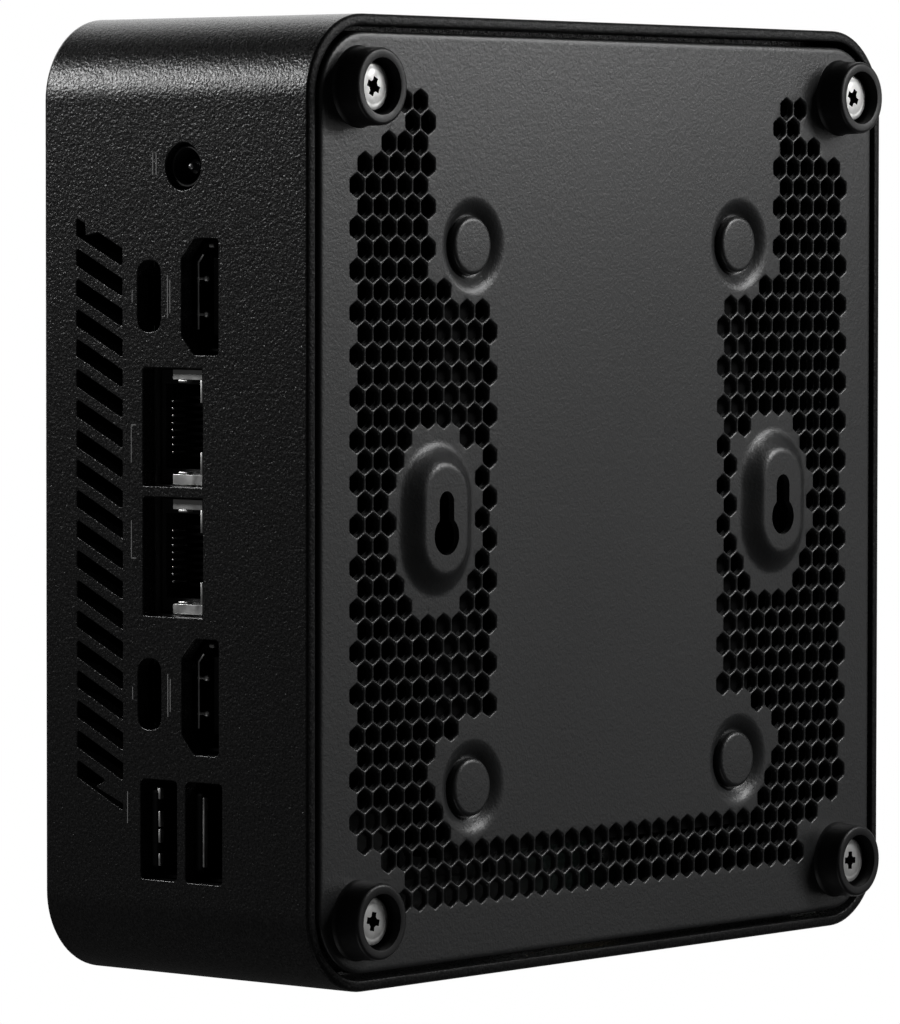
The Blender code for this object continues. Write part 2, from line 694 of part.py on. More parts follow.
def build_cooling():
    """Processor, cold plate, heat pipe, fins and the blower with its rotor."""
    package = BOARD_TOP + GAP
    box(
        "processor", (PLATE_X - 11 * MM, PLATE_Y - 12 * MM, package),
        (PLATE_X + 11 * MM, PLATE_Y + 12 * MM, package + 1.8 * MM), SILICON,
    )
    plate_low = package + 1.8 * MM + GAP
    plate_high = PIPE_Z - PIPE_RADIUS - GAP
    plate = box(
        "cold_plate", (PLATE_X - 13 * MM, PLATE_Y - 15 * MM, plate_low),
        (PLATE_X + 13 * MM, PLATE_Y + 15 * MM, plate_high), COPPER,
    )
    round_edges(plate, 0.4 * MM, 1)

    bend = 12 * MM
    path = [(PIPE_X, PLATE_Y - 12 * MM)]
    path += arc(PIPE_X - bend, PIPE_Y - bend, bend, 0, 90, 5)
    path.append((FINS_X[0] + 3 * MM, PIPE_Y))
    curve = bpy.data.curves.new("heat_pipe", "CURVE")
    curve.dimensions = "3D"
    curve.bevel_depth = PIPE_RADIUS
    curve.bevel_resolution = 2
    curve.use_fill_caps = True
    spline = curve.splines.new("POLY")
    spline.points.add(len(path) - 1)
    for point, (x, y) in zip(spline.points, path):
        point.co = (x, y, PIPE_Z, 1)
    pipe = curve_to_mesh(bpy.data.objects.new("heat_pipe_path", curve), "heat_pipe", COPPER)
    smooth(pipe)

    width = FINS_X[1] - FINS_X[0]
    fins = box("fin_stack", (FINS_X[0], FINS_Y[0], FAN_Z[0]), (FINS_X[1], FINS_Y[1], FAN_Z[1]), ALUMINIUM)
    pitch = (width - 0.8 * MM) / FIN_CHANNELS
    channels = bmesh.new()
    for i in range(FIN_CHANNELS):
        x = FINS_X[0] + 0.8 * MM + (i + 0.5) * pitch - 0.4 * MM
        made = bmesh.ops.create_cube(channels, size=1)["verts"]
        size = (pitch - 0.8 * MM, FINS_Y[1] - FINS_Y[0] + 2 * OVER, FAN_Z[1] - FAN_Z[0] - 1.2 * MM)
        bmesh.ops.scale(channels, vec=size, verts=made)
        centre = (x, sum(FINS_Y) / 2, sum(FAN_Z) / 2)
        bmesh.ops.translate(channels, vec=centre, verts=made)
    cut(fins, from_bmesh("fin_channels", channels))
    bore_place = (sum(FINS_X) / 2, PIPE_Y, PIPE_Z)
    cut(fins, cylinder(
        "pipe_bore", PIPE_RADIUS + GAP, width + 2 * OVER, bore_place,
        rotation=(0, math.radians(90), 0), steps=12,
    ))
    build_fan()


def build_fan():
    """Blower: a flat box with a round chamber, open above and towards the fins."""
    low, high = FAN_Z
    middle = (low + high) / 2
    frame = slab(
        "fan_frame", [rounded_rectangle(*FAN_BOX, 6 * MM, 4)], high - low, (FAN_X, FAN_Y, middle), FAN_BLACK,
    )
    floor = low + 1.0 * MM
    lid = high - 1.0 * MM
    chamber = cylinder(
        "fan_chamber", FAN_CAVITY, lid - floor, (FAN_X, FAN_Y, (lid + floor) / 2), steps=32,
    )
    cut(frame, chamber)
    outlet = box(
        "fan_outlet", (FAN_X - FAN_BOX[0] / 2 + 4 * MM, FAN_Y + 6 * MM, floor),
        (FAN_X + FAN_BOX[0] / 2 - 4 * MM, FAN_Y + FAN_BOX[1] / 2 + OVER, lid),
    )
    cut(frame, outlet)
    cut(frame, cylinder("fan_inlet", 20 * MM, 4 * MM, (FAN_X, FAN_Y, high), steps=32))
    spindle = cylinder("fan_spindle", 1.5 * MM, 5.5 * MM, (FAN_X, FAN_Y, floor + 2.25 * MM), steps=12)
    join(frame, spindle)

    hub_radius = 12 * MM
    rotor_low = floor + 0.8 * MM
    rotor_high = lid - 0.6 * MM
    ceiling = rotor_high - 1.2 * MM
    rotor = turned("fan_rotor", [
        (0, rotor_high), (hub_radius, rotor_high), (hub_radius, rotor_low),
        (hub_radius - 1.2 * MM, rotor_low), (hub_radius - 1.2 * MM, ceiling), (3.4 * MM, ceiling),
        (3.4 * MM, rotor_low), (1.9 * MM, rotor_low), (1.9 * MM, ceiling), (0, ceiling),
    ], (FAN_X, FAN_Y, 0), FAN_BLACK, steps=24)
    blades = bmesh.new()
    for i in range(15):
        angle = math.tau * i / 15
        made = bmesh.ops.create_cube(blades, size=1)["verts"]
        bmesh.ops.scale(blades, vec=(15 * MM, 0.9 * MM, rotor_high - rotor_low - 0.8 * MM), verts=made)
        pitch_turn = Matrix.Rotation(math.radians(25), 3, "Z")
        bmesh.ops.rotate(blades, cent=(0, 0, 0), matrix=pitch_turn, verts=made)
        bmesh.ops.translate(blades, vec=(18 * MM, 2.5 * MM, 0), verts=made)
        bmesh.ops.rotate(blades, cent=(0, 0, 0), matrix=Matrix.Rotation(angle, 3, "Z"), verts=made)
    vanes = from_bmesh("fan_vanes", blades, None, (FAN_X, FAN_Y, (rotor_low + rotor_high) / 2))
    join(rotor, vanes)
    smooth(rotor)


def chip_card(name, low, high, chips, chip_height, material):
    """Thin circuit card with raised chips on its lower face."""
    card = box(name, low, high, material)
    for i, (x0, y0, x1, y1) in enumerate(chips):
        chip = box(
            "{}_chip_{}".format(name, i), (x0, y0, low[2] - chip_height), (x1, y1, low[2] + 0.2 * MM),
        )
        join(card, chip)
    return card


def build_cards():
    """Memory, storage and radio cards on the lower side of the board."""
    socket_low = 27.0 * MM
    socket = box(
        "memory_socket", (-36.5 * MM, MEMORY_Y[1] - 4 * MM, socket_low),
        (36.5 * MM, MEMORY_Y[1] + 5 * MM, BOARD_BOTTOM - GAP), SOCKET_BLACK,
    )
    for i, z in enumerate(MEMORY_Z):
        cut(socket, box(
            "memory_slot_{}".format(i), (-MEMORY_X - GAP, MEMORY_Y[0], z - 0.6 * MM - GAP),
            (MEMORY_X + GAP, MEMORY_Y[1] + GAP, z + 0.6 * MM + GAP),
        ))
        label = ("upper", "lower")[i]
        pitch = 15.5 * MM
        chips = []
        for k in range(4):
            x = (k - 1.5) * pitch
            chips.append((x - 5 * MM, MEMORY_Y[0] + 6 * MM, x + 5 * MM, MEMORY_Y[0] + 20 * MM))
        chip_card(
            "memory_module_" + label, (-MEMORY_X, MEMORY_Y[0], z - 0.6 * MM),
            (MEMORY_X, MEMORY_Y[1], z + 0.6 * MM), chips, 1.2 * MM, BOARD_BLUE,
        )

    chips = [(-30 * MM, -38 * MM, -14 * MM, -22 * MM), (-8 * MM, -38 * MM, 6 * MM, -24 * MM),
             (12 * MM, -38 * MM, 26 * MM, -24 * MM)]
    storage = chip_card(
        "storage_card", (-38 * MM, -41 * MM, CARD_Z), (42 * MM, -19 * MM, CARD_Z + 0.8 * MM),
        chips, 1.0 * MM, BOARD_BLUE,
    )
    screw_x = 42 * MM
    cut(storage, cylinder("card_notch", 2.0 * MM, 6 * MM, (screw_x, -30 * MM, CARD_Z), steps=16))
    top = BOARD_BOTTOM - GAP
    standoff = turned("storage_screw", [
        (0, top), (1.6 * MM, top), (1.6 * MM, CARD_Z - GAP), (2.8 * MM, CARD_Z - GAP),
        (2.8 * MM, CARD_Z - 1.1 * MM), (0, CARD_Z - 1.1 * MM),
    ], (screw_x, -30 * MM, 0), BRASS, steps=16)
    smooth(standoff)

    radio_chips = [(44.5 * MM, -2 * MM, 57.5 * MM, 14 * MM)]
    chip_card(
        "wireless_card", (40 * MM, -6 * MM, CARD_Z), (62 * MM, 24 * MM, CARD_Z + 0.8 * MM),
        radio_chips, 1.2 * MM, BOARD_GREEN,
    )
    cell_low = 31.8 * MM
    cell = turned("coin_cell", [
        (0, cell_low + 3.2 * MM), (9.6 * MM, cell_low + 3.2 * MM), (10 * MM, cell_low + 2.8 * MM),
        (10 * MM, cell_low + 0.6 * MM), (8.8 * MM, cell_low), (0, cell_low),
    ], (-51 * MM, -2 * MM, 0), STEEL, steps=24)
    smooth(cell)


# ---------------------------------------------------------------- sockets

def socket(name, outline, mouth, depth, floor, x, z, material, rear=True):
    """Metal shell with its mouth on the inner side of a wall and a closed back."""
    y = SOCKET_FACE - depth / 2
    facing = TO_REAR if rear else TO_FRONT
    sign = 1 if rear else -1
    body = slab(name, [outline], depth, (x, sign * y, z), material, facing)
    hollow_depth = depth - floor + OVER
    hollow_y = SOCKET_FACE + OVER - hollow_depth / 2
    cut(body, slab(name + "_mouth", [mouth], hollow_depth, (x, sign * hollow_y, z), rotation=facing))
    return body


def tongue(name, size, reach, setback, x, z, rear=True, material=SOCKET_BLACK):
    """Contact tongue standing inside a socket; setback is from the socket's mouth."""
    half_x = size[0] / 2
    half_z = size[1] / 2
    near = SOCKET_FACE - setback
    far = near - reach
    low, high = (far, near) if rear else (-near, -far)
    return box(name, (x - half_x, low, z - half_z), (x + half_x, high, z + half_z), material)


def type_c_socket(name, x, z, rear):
    """Small oval socket; its tongue is one piece with the shell's back wall."""
    depth = 7.5 * MM
    outline = (stadium(9.0 * MM, 3.3 * MM, 5), stadium(8.3 * MM, 2.6 * MM, 5))
    shell = socket(name, *outline, depth, 1 * MM, x, z, STEEL, rear)
    join(shell, tongue(name + "_tongue", (6.6 * MM, 0.7 * MM), depth - 1.2 * MM, 0.8 * MM, x, z, rear))
    return shell


def type_a_socket(name, x, z, rear):
    """One flat rectangular socket on the front edge of the board."""
    outline = (rectangle(13.8 * MM, 6.4 * MM), rectangle(12.9 * MM, 5.5 * MM))
    shell = socket(name, *outline, 13 * MM, 1 * MM, x, z, STEEL, rear)
    tongue(name + "_tongue", (11.2 * MM, 1.9 * MM), 10 * MM, 1.0 * MM, x, z + 1.0 * MM, rear)
    return shell


def build_rear_sockets():
    """Power, video, network and serial sockets behind the rear wall."""
    power = box(
        "power_socket", (DC_X - 4.7 * MM, SOCKET_FACE - 13 * MM, DC_Z - 5 * MM),
        (DC_X + 4.7 * MM, SOCKET_FACE, BOARD_BOTTOM - GAP), SOCKET_BLACK,
    )
    bore_depth = 10 * MM
    bore_y = SOCKET_FACE - bore_depth / 2 + OVER / 2
    annulus = slab(
        "power_bore", [circle(3.1 * MM, 20), circle(1.0 * MM, 12)], bore_depth + OVER,
        (DC_X, bore_y, DC_Z), rotation=TO_REAR,
    )
    cut(power, annulus)

    for side, x in zip(("left", "right"), VIDEO_X):
        name = "video_socket_" + side
        shell = socket(
            name, video_outline(15.2 * MM, 6.0 * MM), video_outline(14.2 * MM, 5.0 * MM), 13 * MM, 1.5 * MM,
            x, VIDEO_Z, STEEL,
        )
        back = SOCKET_FACE - 13 * MM
        join(shell, box(
            name + "_riser", (x - 6 * MM, back + 0.4 * MM, VIDEO_Z),
            (x + 6 * MM, back + 1.2 * MM, BOARD_BOTTOM - GAP),
        ))
        tongue(name + "_tongue", (10.8 * MM, 1.3 * MM), 9 * MM, 1.5 * MM, x, VIDEO_Z + 0.3 * MM)
        type_c_socket("type_c_socket_rear_" + side, x, TYPE_C_Z, True)

    shield_x = (LAN_X[0][0] - 0.4 * MM, LAN_X[1][1] + 0.4 * MM)
    shield_z = (LAN_Z[0] - 0.5 * MM, BOARD_BOTTOM - GAP)
    depth = 19 * MM
    shield = box(
        "lan_shield", (shield_x[0], SOCKET_FACE - depth, shield_z[0]),
        (shield_x[1], SOCKET_FACE, shield_z[1]), STEEL,
    )
    for side, (low, high) in zip(("left", "right"), LAN_X):
        cut(shield, box(
            "lan_bay_" + side, (low + 0.1 * MM, SOCKET_FACE - depth + 0.6 * MM, LAN_Z[0]),
            (high - 0.1 * MM, SOCKET_FACE + OVER, LAN_Z[1]),
        ))
        x = (low + high) / 2
        middle = sum(LAN_Z) / 2
        face = SOCKET_FACE - 1.2 * MM
        back = SOCKET_FACE - depth + 0.9 * MM
        block = box(
            "lan_jack_" + side, (low + 0.4 * MM, back, LAN_Z[0] + GAP),
            (high - 0.4 * MM, face, LAN_Z[1] - GAP), SOCKET_BLACK,
        )
        cut(block, box(
            "lan_plug_" + side, (x - 5.95 * MM, back + 2 * MM, middle - 3.0 * MM),
            (x + 5.95 * MM, face + OVER, middle + 4.6 * MM),
        ))
        cut(block, box(
            "lan_latch_" + side, (x - 3.1 * MM, back + 2 * MM, LAN_Z[0] + 1.3 * MM),
            (x + 3.1 * MM, face + OVER, middle),
        ))

    body_z = (TYPE_A_Z[0][0] + 0.2 * MM, BOARD_BOTTOM - GAP)
    stack = box(
        "type_a_stack_rear", (TYPE_A_X - 6.9 * MM, SOCKET_FACE - 17 * MM, body_z[0]),
        (TYPE_A_X + 6.9 * MM, SOCKET_FACE, body_z[1]), STEEL,
    )
    for level, (low, high) in zip(("lower", "upper"), TYPE_A_Z):
        middle = (low + high) / 2
        cut(stack, box(
            "type_a_bay_" + level, (TYPE_A_X - 6.45 * MM, SOCKET_FACE - 13 * MM, middle - 2.7 * MM),
            (TYPE_A_X + 6.45 * MM, SOCKET_FACE + OVER, middle + 2.7 * MM),
        ))
        tongue(
            "type_a_tongue_rear_" + level, (11.2 * MM, 1.9 * MM), 11 * MM, 1.0 * MM,
            TYPE_A_X, middle + 1.0 * MM,
        )


def build_front_sockets():
    """Two flat sockets, an oval one and a round audio socket on the front edge."""
    for side, x in zip(("left", "right"), FRONT_A_X):
        type_a_socket("type_a_socket_front_" + side, x, FRONT_Z, False)
    type_c_socket("type_c_socket_front", FRONT_C_X, FRONT_Z, False)
    audio = box(
        "audio_socket", (AUDIO_X - 3.2 * MM, -SOCKET_FACE, FRONT_Z - 2.8 * MM),
        (AUDIO_X + 3.2 * MM, -SOCKET_FACE + 12 * MM, BOARD_BOTTOM - GAP), SOCKET_BLACK,
    )
    cut(audio, cylinder(
        "audio_bore", AUDIO_RADIUS, 20 * MM, (AUDIO_X, -SOCKET_FACE, FRONT_Z), rotation=TO_FRONT, steps=16,
    ))


def build_button():
    """Round power button, kept by a flange behind the wall, and the switch it presses."""
    outer = REAR_WALL
    inner = REAR_INNER - GAP
    stem_end = inner - 3.2 * MM
    button = turned("power_button", [
        (0, outer), (BUTTON_RADIUS - 0.4 * MM, outer), (BUTTON_RADIUS, outer - 0.4 * MM),
        (BUTTON_RADIUS, inner), (BUTTON_RADIUS + 0.9 * MM, inner),
        (BUTTON_RADIUS + 0.9 * MM, inner - 0.8 * MM), (1.6 * MM, inner - 0.8 * MM),
        (1.6 * MM, stem_end), (0, stem_end),
    ], (BUTTON_X, 0, FRONT_Z), SOCKET_BLACK, rotation=TO_FRONT)
    smooth(button)
    switch_y = -(stem_end - BUTTON_TRAVEL - 0.2 * MM)
    box(
        "button_switch", (BUTTON_X - 3 * MM, switch_y, FRONT_Z - 3 * MM),
        (BUTTON_X + 3 * MM, switch_y + 3.5 * MM, BOARD_BOTTOM - GAP), STEEL,
    )


def main():
    """Build every piece."""
    carrier = group("bottom_cover_slide")
    build_housing()
    build_cover(carrier)
    build_feet(carrier)
    build_drive(carrier)
    build_board()
    build_cooling()
    build_cards()
    build_rear_sockets()
    build_front_sockets()
    build_button()


main()
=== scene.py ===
"""Looks of the palm-sized desktop computer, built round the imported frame.

Metres, +Z up, feet on z = 0, rear sockets towards +Y. The camera looks up at the bottom
cover and the rear panel, so the lights that matter most stand below and behind.
"""
import json
import math
import random

import bmesh
import bpy
from mathutils import Matrix, Vector
from mathutils.geometry import delaunay_2d_cdt


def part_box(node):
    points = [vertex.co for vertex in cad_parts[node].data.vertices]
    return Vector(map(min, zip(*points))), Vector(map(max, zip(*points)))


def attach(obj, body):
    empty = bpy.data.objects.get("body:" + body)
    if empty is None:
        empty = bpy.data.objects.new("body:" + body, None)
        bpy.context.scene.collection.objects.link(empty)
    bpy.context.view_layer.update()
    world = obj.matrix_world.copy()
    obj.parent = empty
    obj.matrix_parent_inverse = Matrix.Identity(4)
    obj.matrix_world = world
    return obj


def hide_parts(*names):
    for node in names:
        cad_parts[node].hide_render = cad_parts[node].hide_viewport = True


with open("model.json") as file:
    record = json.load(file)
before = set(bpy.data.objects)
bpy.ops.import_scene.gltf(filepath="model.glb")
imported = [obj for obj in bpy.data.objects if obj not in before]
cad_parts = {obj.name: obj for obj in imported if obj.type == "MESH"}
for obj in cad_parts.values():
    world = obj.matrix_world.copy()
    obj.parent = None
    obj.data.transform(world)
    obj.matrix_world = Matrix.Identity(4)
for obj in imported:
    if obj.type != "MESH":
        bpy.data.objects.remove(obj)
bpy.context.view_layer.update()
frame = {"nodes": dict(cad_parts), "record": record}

MM = 0.001

# Enclosure, from the frame
SHELL_LOW, SHELL_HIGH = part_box("housing")
COVER_LOW, COVER_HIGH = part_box("bottom_cover")
COVER_Z = SHELL_LOW.z                     # outer face of the bottom cover
WIDTH = SHELL_HIGH.x - SHELL_LOW.x
DEPTH = SHELL_HIGH.y - SHELL_LOW.y
CORNER_RADIUS = 11.75 * MM
WALL = 2.2 * MM
LIP = 1.6 * MM
LIP_DEPTH = 6 * MM
REAR = SHELL_HIGH.y
FRONT = SHELL_LOW.y
SIDES = ("left", "right")
CORNERS = ("front_left", "front_right", "rear_left", "rear_right")


def centre(node):
    """Middle of a CAD node's box."""
    low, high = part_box(node)
    return (low + high) / 2


def mm(*lengths):
    """Lengths in millimetres as metres."""
    return tuple(length * MM for length in lengths)


# ---- node materials

class Shade:
    """A Principled material that is put together node by node."""

    def __init__(self, name, colour, roughness, metallic=0.0, specular=0.5):
        self.material = bpy.data.materials.new(name)
        self.material.use_nodes = True
        self.tree = self.material.node_tree
        self.link = self.tree.links.new
        self.shader = self.tree.nodes["Principled BSDF"]
        self.shader.inputs["Base Color"].default_value = (*colour, 1)
        self.shader.inputs["Roughness"].default_value = roughness
        self.shader.inputs["Metallic"].default_value = metallic
        self.shader.inputs["Specular IOR Level"].default_value = specular
        self.place = self.tree.nodes.new("ShaderNodeTexCoord").outputs["Object"]
        self.normal = None

    def node(self, kind, **values):
        """New node with its inputs set by name."""
        made = self.tree.nodes.new(kind)
        for name, value in values.items():
            made.inputs[name.replace("_", " ")].default_value = value
        return made

    def noise(self, scale, detail=2.0, roughness=0.5, stretch=(1, 1, 1)):
        """Noise value in object space; scale is in repeats per metre."""
        mapping = self.node("ShaderNodeMapping", Scale=stretch)
        self.link(self.place, mapping.inputs["Vector"])
        made = self.node("ShaderNodeTexNoise", Scale=scale, Detail=detail, Roughness=roughness)
        self.link(mapping.outputs["Vector"], made.inputs["Vector"])
        return made.outputs["Fac"]

    def step(self, operation, value, number=0.0):
        """One arithmetic step on a value."""
        made = self.tree.nodes.new("ShaderNodeMath")
        made.operation = operation
        made.inputs[1].default_value = number
        self.link(value, made.inputs[0])
        return made.outputs[0]

    def remap(self, value, low, high, out_low, out_high):
        """Linear remap of a value."""
        made = self.node("ShaderNodeMapRange", From_Min=low, From_Max=high, To_Min=out_low, To_Max=out_high)
        self.link(value, made.inputs["Value"])
        return made.outputs["Result"]

    def mix(self, value, first, second):
        """Colour between two colours."""
        made = self.tree.nodes.new("ShaderNodeMix")
        made.data_type = "RGBA"
        self.link(value, made.inputs["Factor"])
        made.inputs["A"].default_value = (*first, 1)
        made.inputs["B"].default_value = (*second, 1)
        return made.outputs["Result"]

    def bump(self, height, strength, distance):
        """Add a bump on top of the ones before it."""
        made = self.node("ShaderNodeBump", Strength=strength, Distance=distance)
        self.link(height, made.inputs["Height"])
        if self.normal is not None:
            self.link(self.normal, made.inputs["Normal"])
        self.normal = made.outputs["Normal"]
        self.link(self.normal, self.shader.inputs["Normal"])

    def drive(self, socket, value):
        """Feed a shader input."""
        self.link(value, self.shader.inputs[socket])


def moulded_black(name, roughness, shine):
    """Matt black moulding with a fine spark-eroded grain."""
    shade = Shade(name, (0.009, 0.009, 0.0092), roughness)
    grain = shade.noise(2300, 2.5, 0.6)
    glints = shade.noise(3300, 2.0, 0.6, (1.0, 0.8, 1.1))
    shade.bump(grain, 0.9, 0.11 * MM)
    dark = (0.007, 0.007, 0.0072)
    light = (0.011, 0.011, 0.0113)
    shade.drive("Base Color", shade.mix(shade.remap(grain, 0.35, 0.7, 0, 1), dark, light))
    shade.drive("Specular IOR Level", shade.remap(glints, 0.38, 0.66, 0.3 * shine, shine))
    shade.drive("Roughness", shade.remap(glints, 0.3, 0.7, 0.9 * roughness, 1.1 * roughness))
    return shade.material


def coated_sheet():
    """Pressed steel sheet with a satin charcoal powder coat."""
    shade = Shade("coated_sheet", (0.016, 0.0165, 0.017), 0.36, specular=0.52)
    grain = shade.noise(2300, 2.5, 0.6)
    orange_peel = shade.noise(900, 2.0, 0.5)
    cloud = shade.noise(28, 3.0, 0.55)
    shade.bump(grain, 0.8, 0.05 * MM)
    shade.bump(orange_peel, 0.5, 0.06 * MM)
    patches = shade.remap(cloud, 0.35, 0.65, 0, 1)
    shade.drive("Base Color", shade.mix(patches, (0.014, 0.0145, 0.015), (0.018, 0.0185, 0.019)))
    shade.drive("Roughness", shade.remap(grain, 0.3, 0.7, 0.34, 0.41))
    return shade.material


def soft_rubber():
    """Dull black rubber of the feet."""
    shade = Shade("foot_rubber", (0.007, 0.007, 0.0075), 0.4, specular=0.35)
    shade.bump(shade.noise(2600, 2.0, 0.5), 0.35, 0.03 * MM)
    shade.drive("Roughness", shade.remap(shade.noise(900), 0.3, 0.7, 0.38, 0.46))
    return shade.material


def plain_plastic(name, colour, roughness, specular=0.5):
    """Moulded plastic with a slight mottling."""
    shade = Shade(name, colour, roughness, specular=specular)
    lighter = tuple(1.35 * c for c in colour)
    shade.drive("Base Color", shade.mix(shade.noise(600, 3.0), colour, lighter))
    shade.bump(shade.noise(1800), 0.15, 0.03 * MM)
    return shade.material


def metal(name, colour, roughness, streak=(1, 1, 1), scale=900, depth=0.2):
    """Bare metal whose roughness and height vary in streaks."""
    shade = Shade(name, colour, roughness, metallic=1.0)
    lines = shade.noise(scale, 3.0, 0.6, streak)
    shade.drive("Roughness", shade.remap(lines, 0.3, 0.7, 0.75 * roughness, 1.3 * roughness))
    darker = tuple(0.8 * c for c in colour)
    shade.drive("Base Color", shade.mix(shade.noise(260, 3.0), darker, colour))
    shade.bump(lines, depth, 0.02 * MM)
    return shade.material


def circuit_board(name, mask, copper):
    """Solder mask with square-cornered tracks showing through it."""
    shade = Shade(name, mask, 0.35)
    cells = shade.node("ShaderNodeTexVoronoi", Scale=85)
    cells.distance = "CHEBYCHEV"
    shade.link(shade.place, cells.inputs["Vector"])
    rings = shade.step("FRACT", shade.step("MULTIPLY", cells.outputs["Distance"], 11))
    lines = shade.remap(rings, 0.58, 0.66, 0, 1)
    shade.drive("Base Color", shade.mix(lines, mask, copper))
    shade.drive("Roughness", shade.remap(shade.noise(200, 2.0), 0.3, 0.7, 0.3, 0.42))
    shade.bump(lines, 0.3, 0.03 * MM)
    return shade.material


BLACK = moulded_black("moulded_black", 0.28, 1.0)
LIP_BLACK = moulded_black("moulded_black_lip", 0.4, 0.22)
SHEET = coated_sheet()
FOOT = soft_rubber()
STEEL = metal("bright_steel", (0.72, 0.72, 0.7), 0.24)
SCREW_STEEL = metal("screw_steel", (0.6, 0.6, 0.59), 0.5, scale=1100, depth=0.6)
TIN_DARK = metal("dull_tinned_shell", (0.42, 0.42, 0.42), 0.35, (1, 8, 1), 500)
PLATE_TIN = metal("matt_tin", (0.8, 0.8, 0.79), 0.4, (1, 8, 1), 500)
# Near-black. It is the own black of the foam strip and the plastic inserts and tongues, and painted shade
# on the metal parts seen through the vents, in the socket mouths and in the screw recesses.
BLACK_AND_PAINTED_SHADE = plain_plastic("black_and_painted_shade", (0.0018, 0.0018, 0.002), 0.6, 0.05)
# Near-black for the drive: painted shade where it shows through the vents.
SHADE_DARK_DRIVE = plain_plastic("painted_shade_dark", (0.005, 0.005, 0.0055), 0.55, 0.15)
BRASS = metal("turned_brass", (0.72, 0.53, 0.26), 0.3)
GOLD = metal("contact_gold", (0.83, 0.66, 0.36), 0.25)
ALUMINIUM = metal("mill_aluminium", (0.72, 0.73, 0.74), 0.33, (1, 12, 1), 300)
COPPER = metal("drawn_copper", (0.75, 0.38, 0.24), 0.3, (8, 1, 1), 300)
SOCKET_BLACK = plain_plastic("socket_black", (0.009, 0.009, 0.0095), 0.4)
NICKEL = metal("nickel_can", (0.7, 0.7, 0.68), 0.34, scale=240, depth=0.08)
# Near-black lid: painted shade where the radio card shows through the vents.
SHADE_DARK_LID = metal("painted_shade_lid", (0.045, 0.045, 0.046), 0.5, scale=240, depth=0.08)
CERAMIC = plain_plastic("tan_ceramic", (0.2, 0.15, 0.1), 0.4)
CHOKE = plain_plastic("grey_ferrite", (0.06, 0.06, 0.062), 0.45)
FAN_BLACK = plain_plastic("fan_black", (0.018, 0.018, 0.02), 0.42)
SILICON = plain_plastic("chip_package", (0.02, 0.02, 0.022), 0.3)
RIBBON = plain_plastic("ribbon_black", (0.02, 0.02, 0.024), 0.5)
INK = plain_plastic("mark_grey", (0.3, 0.3, 0.3), 0.5)
# Very dark green mask: the board's own green, deepened as painted shade for the board seen through the
# vents.
GREEN = circuit_board("green_board", (0.002, 0.006, 0.0045), (0.006, 0.018, 0.013))
BLUE = circuit_board("blue_board", (0.006, 0.014, 0.04), (0.02, 0.04, 0.09))

# Finish of each material slot, for the CAD nodes that stay visible
CAD_FINISH = dict(
    steel=STEEL, brass=BRASS, aluminium=ALUMINIUM, copper=COPPER, board_green=GREEN, board_blue=BLUE,
    socket_black=SOCKET_BLACK, fan_black=FAN_BLACK, silicon=SILICON, ribbon=RIBBON, rubber=FOOT,
    cover_grey=SHEET, housing_black=BLACK,
)
# Nodes whose material differs from their slot's; drive_tray, drive, fin_stack and type_a_stack_rear get
# near-black as painted shade where they show through the vents
NODE_FINISH = dict(
    drive_tray=BLACK_AND_PAINTED_SHADE, drive=SHADE_DARK_DRIVE, drive_cable=BLACK_AND_PAINTED_SHADE, coin_cell=NICKEL,
    fin_stack=BLACK_AND_PAINTED_SHADE, lan_shield=TIN_DARK, type_a_stack_rear=BLACK_AND_PAINTED_SHADE,
)


def finish_cad_nodes():
    """Give every CAD node that stays visible a node-based material."""
    for entry in frame["record"]["subparts"]:
        skin = frame["nodes"][entry["node"]].data
        skin.materials.clear()
        skin.materials.append(NODE_FINISH.get(entry["node"], CAD_FINISH[entry["material_slot"]]))
        smooth_up_to(skin, 32)


# ---- shapes

def arc(cx, cy, radius, start, sweep, steps):
    """Points on an arc, both ends included; angles in degrees."""
    angles = [math.radians(start + sweep * i / steps) for i in range(steps + 1)]
    return [(cx + radius * math.cos(a), cy + radius * math.sin(a)) for a in angles]


def circle(cx, cy, radius, steps):
    """Closed circle without the repeated last point."""
    return arc(cx, cy, radius, 0, 360 - 360 / steps, steps - 1)


def rounded_rectangle(half_x, half_y, radius, steps):
    """Rectangle about the origin with rounded corners."""
    x = half_x - radius
    y = half_y - radius
    quarters = ((x, -y, -90), (x, y, 0), (-x, y, 90), (-x, -y, 180))
    return [p for cx, cy, start in quarters for p in arc(cx, cy, radius, start, 90, steps)]


def stadium_x(cx, cy, reach, radius, steps):
    """Oval along X: two half circles reach apart from the centre."""
    return arc(cx + reach, cy, radius, -90, 180, steps) + arc(cx - reach, cy, radius, 90, 180, steps)


def softened(outline, radius, steps=4):
    """Polygon with its corners rounded off."""
    result = []
    for i, corner in enumerate(outline):
        corner = Vector(corner)
        before = Vector(outline[i - 1]) - corner
        after = Vector(outline[(i + 1) % len(outline)]) - corner
        half = before.angle(after) / 2
        back = min(radius / math.tan(half), 0.45 * before.length, 0.45 * after.length)
        first = corner + before.normalized() * back
        last = corner + after.normalized() * back
        for step in range(steps + 1):
            t = step / steps
            result.append(tuple(first * (1 - t) ** 2 + corner * 2 * t * (1 - t) + last * t ** 2))
    return result


def at(place, outline):
    """Outline moved to a place on the wall."""
    return [(x + place[0], z + place[1]) for x, z in outline]


def nested(place, shape, *sizes):
    """The same shape at one place in several sizes."""
    return [at(place, shape(*size)) for size in sizes]


def oblong(width, height, radius):
    """Rectangle about the origin with softened corners; sizes in millimetres."""
    x, z = mm(width / 2, height / 2)
    return softened([(-x, -z), (x, -z), (x, z), (-x, z)], radius * MM)


def add_object(name, data):
    """New object in the scene."""
    obj = bpy.data.objects.new(name, data)
    bpy.context.scene.collection.objects.link(obj)
    return obj


